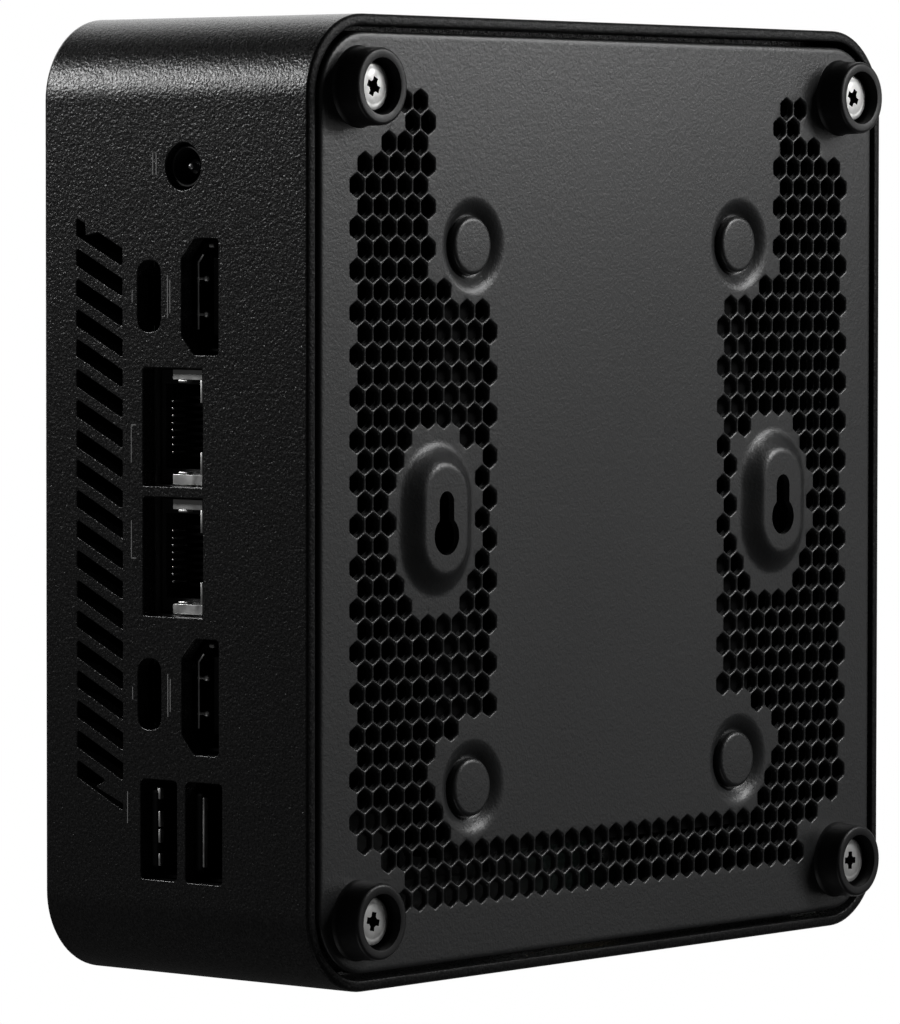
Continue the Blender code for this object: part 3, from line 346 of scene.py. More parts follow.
def add_mesh(name, work):
    """New mesh object that uses up a bmesh."""
    mesh = bpy.data.meshes.new(name)
    work.to_mesh(mesh)
    work.free()
    return add_object(name, mesh)


def face_outwards(work):
    """Turn every face of a closed skin outwards."""
    bmesh.ops.recalc_face_normals(work, faces=work.faces)


def smooth_up_to(mesh, angle):
    """Smooth shading, with sharp edges where faces meet at more than an angle in degrees."""
    mesh.shade_smooth()
    mesh.set_sharp_from_angle(angle=math.radians(angle))


def piece(name, work, material, slot, body="housing", angle=35, node=None):
    """Object from a bmesh, smooth up to an angle, riding on a body and standing for a CAD node."""
    obj = add_mesh(name, work)
    obj.data.materials.append(material)
    smooth_up_to(obj.data, angle)
    flatten_shading(obj)
    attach(obj, body)
    if node:
        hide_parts(node)
    return obj


def flatten_shading(obj):
    """Let the large faces set the normals, so that flat walls stay flat up to their softened edges."""
    modifier = obj.modifiers.new("face_weight", "WEIGHTED_NORMAL")
    modifier.mode = "FACE_AREA"
    modifier.weight = 100
    modifier.thresh = 0.0001
    modifier.keep_sharp = True


def bridge(work, rings):
    """Faces between neighbouring closed rings of as many points."""
    for first, second in zip(rings, rings[1:]):
        for i in range(len(first)):
            j = (i + 1) % len(first)
            work.faces.new((first[i], first[j], second[j], second[i]))


def lathe(work, cx, cy, profile, steps, base=0.0):
    """Turn (radius, height above base) points in millimetres about a vertical axis, into a closed skin."""
    rings = []
    for radius, height in profile:
        z = base + height * MM
        outline = circle(cx, cy, radius * MM, steps) if radius else [(cx, cy)]
        rings.append([work.verts.new((x, y, z)) for x, y in outline])
    for first, second in zip(rings, rings[1:]):
        for i in range(steps):
            j = (i + 1) % steps
            corners = ((first, i), (first, j), (second, j), (second, i))
            loop = dict.fromkeys(ring[k % len(ring)] for ring, k in corners)
            if len(loop) > 2:
                work.faces.new(list(loop))
    face_outwards(work)


def turn_y(work, cx, cz, profile, steps, base):
    """Turn (radius, depth behind base) points in millimetres about an axis along Y."""
    before = set(work.verts)
    lathe(work, 0, 0, profile, steps, base)
    for v in work.verts:
        if v not in before:
            v.co = Vector((v.co.x + cx, v.co.z, cz - v.co.y))


def block(work, origin, low, high, bevel=0.0, segments=2):
    """Box with rounded edges; its corners are in millimetres from an origin."""
    low, high = (Vector([o + c * MM for o, c in zip(origin, corner)]) for corner in (low, high))
    made = bmesh.ops.create_cube(work, size=1)["verts"]
    bmesh.ops.scale(work, vec=high - low, verts=made)
    bmesh.ops.translate(work, vec=(low + high) / 2, verts=made)
    if bevel:
        edges = list({e for v in made for e in v.link_edges})
        bmesh.ops.bevel(work, geom=edges, offset=bevel * MM, segments=segments, profile=0.5, affect="EDGES")


def bars(name, material, slot, origin, boxes, bevel=0.0, segments=2, node=None):
    """Piece of one or more blocks (low, high) with a shared origin."""
    work = bmesh.new()
    for low, high in boxes:
        block(work, origin, low, high, bevel, segments)
    piece(name, work, material, slot, node=node)


def prism(work, outline, y0, y1):
    """Upright outline (x, z) extruded along Y."""
    near = [work.verts.new((x, y0, z)) for x, z in outline]
    far = [work.verts.new((x, y1, z)) for x, z in outline]
    work.faces.new(near)
    work.faces.new(far[::-1])
    for i in range(len(outline)):
        j = (i + 1) % len(outline)
        work.faces.new((near[j], near[i], far[i], far[j]))


def tube(work, outer, inner, y0, y1):
    """Walled duct along Y between two outlines with the same number of points."""
    rings = []
    for outline, y in ((outer, y0), (outer, y1), (inner, y1), (inner, y0)):
        rings.append([work.verts.new((x, y, z)) for x, z in outline])
    bridge(work, rings + rings[:1])
    face_outwards(work)


def bead(work, line, y, radius):
    """Round bar along a polyline of (x, z) points."""
    rings = []
    for i, point in enumerate(line):
        before = Vector(point) - Vector(line[max(i - 1, 0)])
        after = Vector(line[min(i + 1, len(line) - 1)]) - Vector(point)
        along = (before.normalized() + after.normalized()).normalized()
        rings.append([
            work.verts.new((point[0] - along.y * dx, y + dy, point[1] + along.x * dx))
            for dx, dy in circle(0, 0, radius, 10)
        ])
    bridge(work, rings)
    work.faces.new(rings[0])
    work.faces.new(rings[-1][::-1])
    face_outwards(work)


def spring_tip(work, x, y, z, root):
    """Round tip of a holding spring at a height z, on a thin stem that ends root mm above it."""
    lathe(work, x, y, [
        (0, -0.45), (0.25, -0.38), (0.42, -0.18), (0.45, 0), (0.4, 0.2), (0.2, 0.4), (0.2, root), (0, root),
    ], 16, z)


def cut(obj, work):
    """Take a closed bmesh away from an object, at once."""
    face_outwards(work)
    cutter = add_mesh("cutter", work)
    obj.modifiers.clear()
    modifier = obj.modifiers.new("boolean", "BOOLEAN")
    modifier.operation = "DIFFERENCE"
    modifier.solver = "EXACT"
    modifier.object = cutter
    bpy.context.view_layer.update()
    depsgraph = bpy.context.evaluated_depsgraph_get()
    left = bpy.data.meshes.new_from_object(obj.evaluated_get(depsgraph))
    obj.modifiers.clear()
    whole = obj.data
    obj.data = left
    flatten_shading(obj)
    bpy.data.meshes.remove(whole)
    bpy.data.objects.remove(cutter)


# ---- bottom cover

SHEET_THICKNESS = 1.0 * MM
HOLE_PITCH = 3.395 * MM
HOLE_FLATS = 2.98 * MM
DIMPLE_CLEAR = 8.7 * MM                   # no honeycomb hole closer than this to a dimple
BOSS_CLEAR = 9.0 * MM
ROW_STEP = HOLE_PITCH * math.sqrt(3) / 2
STUDS = ["{}_{}".format(a, b) for a in SIDES for b in ("front", "rear")]
DIMPLES = [centre("drive_stud_" + name) for name in STUDS]
FEET = {corner: centre("foot_" + corner) for corner in CORNERS}
KEYHOLE_X = 2.6 * MM
KEYHOLE_Y = 39.1 * MM
FOOT_BORE = 3.93                          # radius, mm
SCREW_HEAD = 3.42                         # radius, mm
SCREW_FACE = 1.7 * MM                     # height of the head's flat top
SCREW_TURN = {"front_left": 28, "front_right": 2, "rear_left": 24, "rear_right": 12}
BUCKET = 8 * MM                           # cell of the grid that sorts the holes

# Cross-sections in mm, outwards from each feature's middle: (radius, level above the sheet)
DIMPLE_PROFILE = (
    (4.3, -1.3), (4.5, -1.25), (4.7, -1.12), (4.95, -0.93), (5.25, -0.71), (5.55, -0.5),
    (5.85, -0.33), (6.15, -0.19), (6.45, -0.095), (6.75, -0.03), (7.05, 0),
)
BOSS_PROFILE = (
    (4.1, 2.05), (4.45, 2.035), (4.8, 1.95), (5.2, 1.72), (5.8, 1.24),
    (6.45, 0.7), (7.05, 0.3), (7.5, 0.1), (7.9, 0.02), (8.3, 0),
)
BOSS_REACH = 2.95 * MM
CORNER_REACH = 88 * MM
# Rim of a honeycomb hole in mm: (reach beyond the hole, drop)
RIM_PROFILE = ((0.34, 0.0), (0.2, 0.035), (0.07, 0.13), (0.0, 0.3))
# Rolled edge in mm, inwards from the outline: (inset, level)
EDGE_PROFILE = (
    (0.0, -0.6), (0.02, -0.38), (0.07, -0.24), (0.16, -0.14), (0.3, -0.065), (0.5, -0.022),
    (0.75, -0.004), (1.05, 0),
)
FLANGE = 1.6 * MM


def is_vented(x, y):
    """True where the honeycomb runs: two side strips and a band at the +X side, clear of the pressings."""
    side = abs(y)
    in_zone = (
        x > 48.5 * MM
        or (x > 31 * MM and side > 35 * MM)
        or (abs(x) < 31 * MM and side > 26.5 * MM)
        or (x < -31 * MM and side > 40 * MM)
    )
    foot = FEET["rear_right"]
    foot_margin = 9.9 * MM if x > 0 else 9.8 * MM
    near_foot = math.hypot(abs(x) - foot.x, side - foot.y) < foot_margin
    near_dimple = any(math.hypot(x - d.x, y - d.y) < DIMPLE_CLEAR for d in DIMPLES)
    along = max(abs(x - 2.0 * MM) - 4.5 * MM, 0)
    near_boss = math.hypot(along, side - 38.8 * MM) < BOSS_CLEAR
    return in_zone and not (near_foot or near_dimple or near_boss)


def hole_centres():
    """Honeycomb lattice, rows along Y, symmetric about both mid planes."""
    for row in range(-19, 20):
        for column in range(-33, 34):
            x = row * ROW_STEP
            y = column * HOLE_PITCH / 2
            if (row + column) % 2 == 0 and is_vented(x, y):
                yield x, y


def keyhole_loop(cy):
    """Round entry hole that runs into a narrow slot towards -X."""
    entry_radius = 2.7 * MM
    slot_radius = 1.6 * MM
    half_angle = math.degrees(math.asin(slot_radius / entry_radius))
    entry = arc(4.9 * MM, cy, entry_radius, half_angle - 180, 360 - 2 * half_angle, 28)
    return entry + arc(0.2 * MM, cy, slot_radius, 90, 180, 14)


class Sheet:
    """Loops of points with a level each, triangulated together into one pressed sheet."""

    def __init__(self):
        self.points = []
        self.levels = []
        self.edges = []
        self.holes = []

    def loop(self, outline, level, hole=False):
        """Add a closed loop; a hole's inside is left open."""
        start = len(self.points)
        self.points += [Vector(p) for p in outline]
        self.levels += [level] * len(outline)
        self.edges += [(start + i, start + (i + 1) % len(outline)) for i in range(len(outline))]
        if hole:
            middle = sum((Vector(p) for p in outline), Vector((0, 0))) / len(outline)
            self.holes.append((middle, outline))

    def build(self):
        """Bmesh of the sheet seen from outside, levels measured outwards from COVER_Z."""
        solved = delaunay_2d_cdt(self.points, self.edges, [], 0, 1e-7)
        flat, faces, sources = solved[0], solved[2], solved[3]
        work = bmesh.new()
        made = []
        for point, source in zip(flat, sources):
            level = self.levels[source[0]] if source else 0.0
            made.append(work.verts.new((point.x, point.y, COVER_Z - level)))
        inside = {}
        for middle, outline in self.holes:
            cell = (round(middle.x / BUCKET), round(middle.y / BUCKET))
            inside.setdefault(cell, []).append(outline)
        for face in faces:
            point = sum((flat[i] for i in face), Vector((0, 0))) / len(face)
            if not in_any_hole(point, inside):
                work.faces.new([made[i] for i in face])
        loose = [v for v in work.verts if not v.link_faces]
        bmesh.ops.delete(work, geom=loose, context="VERTS")
        for face in work.faces:
            if face.normal.z > 0:
                face.normal_flip()
        return work


def in_any_hole(point, buckets):
    """True if the point lies in one of the nearby outlines."""
    column = round(point.x / BUCKET)
    row = round(point.y / BUCKET)
    for i in (column - 1, column, column + 1):
        for j in (row - 1, row, row + 1):
            for outline in buckets.get((i, j), ()):
                if contains(outline, point):
                    return True
    return False


def contains(outline, point):
    """Even-odd test."""
    inside = False
    previous = outline[-1]
    for corner in outline:
        if (corner[1] > point.y) != (previous[1] > point.y):
            slope = (previous[0] - corner[0]) / (previous[1] - corner[1])
            cross = corner[0] + (point.y - corner[1]) * slope
            if point.x < cross:
                inside = not inside
        previous = corner
    return inside


def cover_outlines(sheet):
    """Loops of the cover's edge, dimples, keyhole bosses, screw holes and honeycomb."""
    radius = CORNER_RADIUS - (WIDTH / 2 - COVER_HIGH.x)
    for inset, level in EDGE_PROFILE:
        inset *= MM
        outline = rounded_rectangle(COVER_HIGH.x - inset, COVER_HIGH.y - inset, radius - inset, 14)
        sheet.loop(outline, level * MM)
    for spot in DIMPLES:
        for r, level in DIMPLE_PROFILE:
            sheet.loop(circle(spot.x, spot.y, r * MM, 40), level * MM)
    for cy in (-KEYHOLE_Y, KEYHOLE_Y):
        for r, level in BOSS_PROFILE:
            sheet.loop(stadium_x(KEYHOLE_X, cy, BOSS_REACH, r * MM, 20), level * MM)
        sheet.loop(keyhole_loop(cy), BOSS_PROFILE[0][1] * MM, hole=True)
    for spot in FEET.values():
        sheet.loop(circle(spot.x, spot.y, 2.0 * MM, 20), 0, hole=True)
    corner = HOLE_FLATS / math.sqrt(3)
    for x, y in hole_centres():
        for spread, drop in RIM_PROFILE:
            hexagon = circle(x, y, corner - 0.08 * MM + spread * MM, 6)
            sheet.loop(softened(hexagon, 0.5 * MM, 2), -drop * MM, hole=spread == 0)


def build_cover():
    """Pressed sheet with its turned-up flange and its thickness."""
    sheet = Sheet()
    cover_outlines(sheet)
    work = sheet.build()
    outline = [e for e in work.edges if e.is_boundary and on_outline(e)]
    made = bmesh.ops.extrude_edge_only(work, edges=outline)["geom"]
    raised = [v for v in made if isinstance(v, bmesh.types.BMVert)]
    bmesh.ops.translate(work, vec=(0, 0, FLANGE), verts=raised)
    face_outwards(work)
    thicken(work)
    piece("pressed_cover", work, SHEET, "cover_grey", "bottom_cover", 48, "bottom_cover")


def on_outline(edge):
    """True for boundary edges of the sheet's outer outline rather than of a hole."""
    middle = (edge.verts[0].co + edge.verts[1].co) / 2
    beyond_x = abs(middle.x) > COVER_HIGH.x - 0.2 * MM
    beyond_y = abs(middle.y) > COVER_HIGH.y - 0.2 * MM
    return beyond_x or beyond_y or middle.xy.length > CORNER_REACH


def thicken(work):
    """Give the sheet its thickness: a copy moved inwards, joined along every rim."""
    outer = list(work.faces)
    rims = [e for e in work.edges if e.is_boundary]
    pairs = {}
    for v in list(work.verts):
        inward = -SHEET_THICKNESS * v.normal
        if abs(v.normal.z) > 0.2 and any(e.is_boundary for e in v.link_edges):
            inward = Vector((0, 0, SHEET_THICKNESS - max(v.co.z - COVER_Z, 0)))
        pairs[v] = work.verts.new(v.co + inward)
    for face in outer:
        work.faces.new([pairs[v] for v in reversed(face.verts)])
    for edge in rims:
        first, second = edge.verts
        work.faces.new((first, second, pairs[second], pairs[first]))
    face_outwards(work)


def build_studs():
    """Flat round stud heads that sit in the dimples."""
    for name, spot in zip(STUDS, DIMPLES):
        work = bmesh.new()
        lathe(work, spot.x, spot.y, [
            (0, 0.02), (3.45, 0.02), (3.75, 0.07), (3.97, 0.18), (4.1, 0.35), (4.15, 0.55), (4.15, 1.3),
            (0, 1.3),
        ], 48, COVER_Z)
        piece("stud_head_" + name, work, SHEET, "cover_grey", "bottom_cover", node="drive_stud_" + name)


def build_feet():
    """Ring feet with rounded rims, and the bright captive screws inside them."""
    for corner, spot in FEET.items():
        low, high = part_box("foot_" + corner)
        outer = (high.x - low.x) / 2 / MM
        top = COVER_Z / MM + 0.02
        work = bmesh.new()
        lathe(work, spot.x, spot.y, [
            (FOOT_BORE, top), (outer + 0.25, top), (outer + 0.06, top - 0.25), (outer - 0.02, top - 0.7),
            (outer - 0.12, 0.42), (outer - 0.24, 0.16), (outer - 0.46, 0.03), (outer - 0.65, 0),
            (FOOT_BORE + 0.12, 0), (FOOT_BORE + 0.03, 0.03), (FOOT_BORE, 0.12), (FOOT_BORE, top),
        ], 56)
        bmesh.ops.remove_doubles(work, verts=work.verts, dist=1e-7)
        face_outwards(work)
        piece("ring_foot_" + corner, work, FOOT, "rubber", "bottom_cover", 50, "foot_" + corner)
        build_screw(corner, spot)


def build_screw(corner, spot):
    """Captive screw: flat-topped pan head with a cross recess, and a plain shank."""
    node = "cover_screw_" + corner
    tip = (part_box(node)[1].z - SCREW_FACE) / MM
    seat = (COVER_Z - SCREW_FACE) / MM - 0.3
    head = SCREW_HEAD
    work = bmesh.new()
    lathe(work, spot.x, spot.y, [
        (0, tip), (1.0, tip), (1.35, tip - 0.4), (1.35, seat), (head, seat), (head, 0.42),
        (head - 0.06, 0.22), (head - 0.2, 0.08), (head - 0.45, 0.02), (head - 0.8, 0),
        (head - 0.95, 0.03), (head - 1.1, 0), (0, 0),
    ], 48, SCREW_FACE)
    screw = piece("captive_screw_" + corner, work, SCREW_STEEL, "steel", node, 30, node)
    cut_cross(screw, spot, SCREW_TURN[corner])


def cut_cross(obj, spot, turn):
    """Cross recess whose walls carry painted shade: a round middle and two tapered blades."""
    work = bmesh.new()
    lathe(work, spot.x, spot.y, [(0, -1), (0.95, -1), (0.75, 1.2), (0, 1.6)], 16, SCREW_FACE)
    cut(obj, work)
    for quarter in (0, 90):
        work = bmesh.new()
        made = bmesh.ops.create_cube(work, size=1)["verts"]
        for v in made:
            deep = v.co.z > 0
            v.co.x *= (2.0 if deep else 3.3) * MM
            v.co.y *= (0.7 if deep else 1.15) * MM
            v.co.z *= 2.2 * MM
        angle = Matrix.Rotation(math.radians(turn + quarter), 4, "Z")
        turned = Matrix.Translation((spot.x, spot.y, SCREW_FACE)) @ angle
        bmesh.ops.transform(work, matrix=turned, verts=work.verts)
        cut(obj, work)
    # Near-black recess walls: painted shade in the cross.
    obj.data.materials.append(BLACK_AND_PAINTED_SHADE)
    for facet in obj.data.polygons:
        near_axis = math.hypot(facet.center.x - spot.x, facet.center.y - spot.y) < 2 * MM
        if near_axis and SCREW_FACE + 0.02 * MM < facet.center.z < SCREW_FACE + 1.7 * MM:
            facet.material_index = 1


# ---- housing

LIP_TOP = COVER_Z + LIP_DEPTH
TOP_ROUND = 1.2 * MM
BOSS_RADIUS = 3.85                        # tubes that take the cover screws, mm
BOSS_BORE = 2.9
POSTS = [centre("board_screw_" + corner) for corner in CORNERS]

# Middles (x, z) of the rear openings in metres, sizes (width, height) in mm
DC_PLACE = mm(-46.74, 27.45)
DC_RADIUS = 3.325 * MM
VIDEO_PLACES = (mm(-28.65, 24.35), mm(27.1, 24.35))
VIDEO_SIZE = (16.2, 6.9)
TYPE_C_PLACES = (mm(-28.65, 33.9), mm(27.1, 33.9))
TYPE_C_SIZE = (10.0, 4.4)
LAN_SPANS = ((-18.68, -2.11), (-0.61, 16.09))
LAN_LEVELS = (23.82, 35.1)
TYPE_A_PLACES = (mm(46.1, 23.69), mm(46.1, 32.17))
TYPE_A_SIZE = (14.1, 6.85)
EXHAUST_START = -39.51 * MM
EXHAUST_PITCH = 4.256 * MM
EXHAUST_WIDTH = 2.4 * MM
EXHAUST_LEVELS = mm(47.75, 39.0)
EXHAUST_SLOTS = 19

# Front openings
FRONT_LEVEL = 32.6 * MM
FRONT_TYPE_A = (centre("type_a_socket_front_left").x, centre("type_a_socket_front_right").x)
FRONT_TYPE_C = centre("type_c_socket_front").x
FRONT_AUDIO = centre("audio_socket").x
BUTTON = centre("power_button")
BUTTON_RADIUS = 4.7


def video_mouth(width, height, radius):
    """Six-sided mouth, chamfered towards the top; sizes in millimetres."""
    x, z = mm(width / 2, height / 2)
    inset = 0.165 * width * MM
    shoulder = 0.16 * height * MM
    corners = [(-x, -z), (x, -z), (x, shoulder), (x - inset, z), (inset - x, z), (-x, shoulder)]
    return softened(corners, radius * MM)


def exhaust_outlines():
    """Slanted slots; the first and the last are partly filled by a small triangle."""
    top, bottom = EXHAUST_LEVELS

    def spot(x, along, across):
        return x + along * EXHAUST_PITCH + across * EXHAUST_WIDTH, top + along * (bottom - top)

    for i in range(EXHAUST_SLOTS):
        x = EXHAUST_START + i * EXHAUST_PITCH
        corners = [(0, 1), (1, 1), (1, 0), (0, 0)]
        if i == 0:
            corners = [(0, 1), (1, 1), (1, 0), (0.47, 0), (0.2, 0.68), (0.18, 0), (0, 0)]
        if i == EXHAUST_SLOTS - 1:
            corners = [(0, 1), (1, 1), (1, 0.62), (0.38, 0.82), (0.62, 0), (0, 0)]
        yield softened([spot(x, *c) for c in corners], 0.22 * MM, 2)


def rear_outlines():
    """Openings in the rear wall."""
    yield circle(*DC_PLACE, DC_RADIUS, 40)
    for place in VIDEO_PLACES:
        yield at(place, video_mouth(*VIDEO_SIZE, 0.7))
    for place in TYPE_C_PLACES:
        yield at(place, oblong(*TYPE_C_SIZE, 2.19))
    for low, high in LAN_SPANS:
        middle = mm((low + high) / 2, sum(LAN_LEVELS) / 2)
        yield at(middle, oblong(high - low, LAN_LEVELS[1] - LAN_LEVELS[0], 0.35))
    for place in TYPE_A_PLACES:
        yield at(place, oblong(*TYPE_A_SIZE, 0.7))
    yield from exhaust_outlines()


def front_outlines():
    """Openings in the front wall."""
    for x in FRONT_TYPE_A:
        yield at((x, FRONT_LEVEL), oblong(*TYPE_A_SIZE, 0.7))
    yield at((FRONT_TYPE_C, FRONT_LEVEL), oblong(*TYPE_C_SIZE, 2.19))
    yield circle(FRONT_AUDIO, FRONT_LEVEL, 2.1 * MM, 32)
    yield circle(BUTTON.x, FRONT_LEVEL, (BUTTON_RADIUS + 0.3) * MM, 48)


def shell_skin(work):
    """Closed skin of the moulding: inside, lip rebate, outside, softened rims."""
    top = SHELL_HIGH.z
    inner_top = top - WALL
    ceiling = ((0.6, 0), (0.18, -0.18), (0, -0.6))
    lip = ((0, 0.3), (-0.06, 0.12), (-0.2, 0.04), (-0.5, 0))
    rim = ((0.62, 0.03), (0.36, 0.1), (0.16, 0.2), (0.04, 0.34), (0, 0.55))
    profile = [(WALL + inset * MM, inner_top + height * MM) for inset, height in ceiling]
    profile += [(WALL, LIP_TOP), (LIP, LIP_TOP)]
    profile += [(LIP + inset * MM, COVER_Z + height * MM) for inset, height in lip]
    profile += [(inset * MM, COVER_Z + height * MM) for inset, height in rim]
    for step in range(7):
        angle = math.radians(15 * step)
        profile.append((TOP_ROUND * (1 - math.cos(angle)), top - TOP_ROUND * (1 - math.sin(angle))))
    rings = []
    for inset, z in profile:
        outline = rounded_rectangle(WIDTH / 2 - inset, DEPTH / 2 - inset, CORNER_RADIUS - inset, 18)
        rings.append([work.verts.new((x, y, z)) for x, y in outline])
    bridge(work, rings)
    work.faces.new(rings[0])
    work.faces.new(rings[-1][::-1])
    face_outwards(work)


def build_housing():
    """Moulded shell with all its openings, bosses and board posts."""
    work = bmesh.new()
    shell_skin(work)
    obj = piece("moulded_housing", work, BLACK, "housing_black", angle=32, node="housing")
    clear = 1 * MM
    for outlines, y0, y1 in (
        (rear_outlines(), REAR - WALL - clear, REAR + clear),
        (front_outlines(), FRONT - clear, FRONT + WALL + clear),
    ):
        work = bmesh.new()
        for outline in outlines:
            prism(work, outline, y0, y1)
        cut(obj, work)

    work = bmesh.new()
    work.from_mesh(obj.data)
    walls = [e for e in work.edges if is_opening_rim(e)]
    bmesh.ops.bevel(
        work, geom=walls, offset=0.16 * MM, segments=2, profile=0.5, affect="EDGES", clamp_overlap=True,
    )
    add_bosses(work)
    for face in work.faces:
        if all(v.co.z < COVER_Z + 0.7 * MM for v in face.verts):
            face.material_index = 1
    work.to_mesh(obj.data)
    work.free()
    obj.data.materials.append(LIP_BLACK)
    smooth_up_to(obj.data, 50)


def add_bosses(work):
    """Tubes that take the cover screws, and posts that carry the board; both hang from the top."""
    ceiling = (SHELL_HIGH.z - WALL) / MM + 0.3
    for spot in FEET.values():
        lathe(work, spot.x, spot.y, [
            (BOSS_BORE, ceiling), (BOSS_BORE, 7.2), (BOSS_BORE + 0.2, 7), (BOSS_RADIUS - 0.2, 7),
            (BOSS_RADIUS, 7.2), (BOSS_RADIUS, ceiling),
        ], 40)
    for spot in POSTS:
        lathe(work, spot.x, spot.y, [
            (1.45, ceiling), (1.45, 38.2), (2.8, 38.2), (3, 38.4), (3, ceiling),
        ], 32)


def is_opening_rim(edge):
    """True for edges that lie in an outer wall face and bound an opening."""
    for face_y in (REAR, FRONT):
        flat = all(abs(v.co.y - face_y) < 1e-6 for v in edge.verts)
        if flat and len(edge.link_faces) == 2:
            return any(abs(f.normal.y) < 0.5 for f in edge.link_faces)
    return False


# ---- rear sockets

SOCKET_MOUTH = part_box("lan_shield")[1].y
CONTACT_PITCH = 1.016                     # network contacts, mm

# Serial tongues: height above the socket's middle, edge thickness, edge spans along X, all in mm
SERIAL_TONGUES = {
    "lower": (1.05, 0.34, ((-4.9, 4.9),)),
    "upper": (0.9, 0.55, ((-5.75, -4.2), (-2.55, -0.3), (0.0, 1.95), (3.45, 5.2))),
}


def build_power_socket():
    """Black barrel of the power socket, nearly flush, with its centre pin."""
    face = REAR - 0.9 * MM
    mouth = (SOCKET_MOUTH - face) / MM
    work = bmesh.new()
    turn_y(work, *DC_PLACE, [
        (2.95, mouth), (2.95, -0.2), (2.8, 0), (2.62, 0), (2.5, -0.2), (2.5, mouth - 6),
    ], 40, face)
    piece("power_barrel", work, SOCKET_BLACK, "socket_black")
    work = bmesh.new()
    turn_y(work, *DC_PLACE, [
        (0.5, mouth - 8), (0.5, -1.0), (0.42, -0.7), (0.22, -0.54), (0, -0.5),
    ], 24, face)
    piece("power_pin", work, TIN_DARK, "steel")


def build_video_sockets():
    """Thin metal mouths of the video sockets, near-black as painted shade inside them, with their bright
    rims and springs.
    """
    for side, (x, z) in zip(SIDES, VIDEO_PLACES):
        work = bmesh.new()
        walls = nested((x, z), video_mouth, (15.2, 6.0, 0.5), (14.5, 5.35, 0.35))
        tube(work, *walls, SOCKET_MOUTH - 12 * MM, SOCKET_MOUTH)
        # The mouth's walls are near-black: painted shade inside the socket.
        piece("video_mouth_" + side, work, BLACK_AND_PAINTED_SHADE, "steel", node="video_socket_" + side)
        work = bmesh.new()
        shoulder = [mm(-5.9, 1.5), mm(-4.75, 2.42), mm(4.6, 2.42)]
        bead(work, at((x, z), shoulder), SOCKET_MOUTH + 0.05 * MM, 0.16 * MM)
        bead(work, at((x, z), [mm(-7.1, -0.6), mm(-7.1, 0.2)]), SOCKET_MOUTH + 0.05 * MM, 0.3 * MM)
        piece("video_rim_" + side, work, PLATE_TIN, "steel")
        work = bmesh.new()
        for shift in (-2.5, 2.5):
            spring_tip(work, x + shift * MM, SOCKET_MOUTH - 0.1 * MM, z + 1.05 * MM, 1.65)
        piece("video_springs_" + side, work, PLATE_TIN, "steel")


def build_network_sockets():
    """Black jack bodies, tinned corner plates and eight contacts in each network socket."""
    for side, span in zip(SIDES, LAN_SPANS):
        origin = (sum(span) / 2 * MM, SOCKET_MOUTH + 0.9 * MM, 0)
        build_network_plates(side, origin)
        build_network_body(side, origin)


def build_network_plates(side, origin):
    """Tinned end plates, turned in along the cover side, with two small teeth."""
    work = bmesh.new()
    # (from, to) outwards from the middle, depth, (lowest, highest), bevel
    plates = (
        ((6.62, 8.05), 9, (25.35, 30.9), 0.08),
        ((3.45, 6.62), 0.3, (25.35, 25.72), 0.06),
        ((6.25, 6.62), 1.2, (28.2, 29.9), 0.1),
    )
    for sign in (-1, 1):
        for reach, depth, (z0, z1), bevel in plates:
            x0, x1 = sorted(sign * x for x in reach)
            block(work, origin, (x0, -depth, z0), (x1, 0, z1), bevel)
    piece("network_plates_" + side, work, PLATE_TIN, "steel")


def build_network_body(side, origin):
    """Ribbed black insert with eight contact wires."""
    work = bmesh.new()
    block(work, origin, (-8, -9, 31.6), (8, -3.6, 34.6), 0.1)
    for i in range(9):
        x = (i - 4) * CONTACT_PITCH
        block(work, origin, (x - 0.22, -9, 26.4), (x + 0.22, -3, 31.8), 0.06)
    piece("network_insert_" + side, work, BLACK_AND_PAINTED_SHADE, "socket_black")
    rows = [(i - 3.5) * CONTACT_PITCH for i in range(8)]
    wires = [((x - 0.15, -8, 31.05), (x + 0.15, -0.3, 31.35)) for x in rows]
    bars("network_contacts_" + side, TIN_DARK, "steel", origin, wires, 0.07)


def build_serial_sockets():
    """Tongues of the stacked serial sockets: contact edges above, a plain bright edge below."""
    for (x, z), (level, (height, thick, spans)) in zip(TYPE_A_PLACES, SERIAL_TONGUES.items()):
        origin = (x, REAR - 1.1 * MM, z + height * MM)
        tongue = [((-5.6, -9, 0), (5.6, 0, 1.7))]
        node = "type_a_tongue_rear_" + level
        bars("serial_tongue_" + level, BLACK_AND_PAINTED_SHADE, "socket_black", origin, tongue, 0.55, 4, node)
        edges = [((start, -0.9, -0.1), (end, -0.12, thick - 0.1)) for start, end in spans]
        bars("serial_edges_" + level, PLATE_TIN, "steel", origin, edges, 0.1)
        starts = [-4.1 + 2.35 * i for i in range(4)]
        contacts = [((x, -8, -0.25), (x + 1.0, -4, 0.1)) for x in starts]
        bars("serial_contacts_" + level, GOLD, "brass", origin, contacts, 0.05)


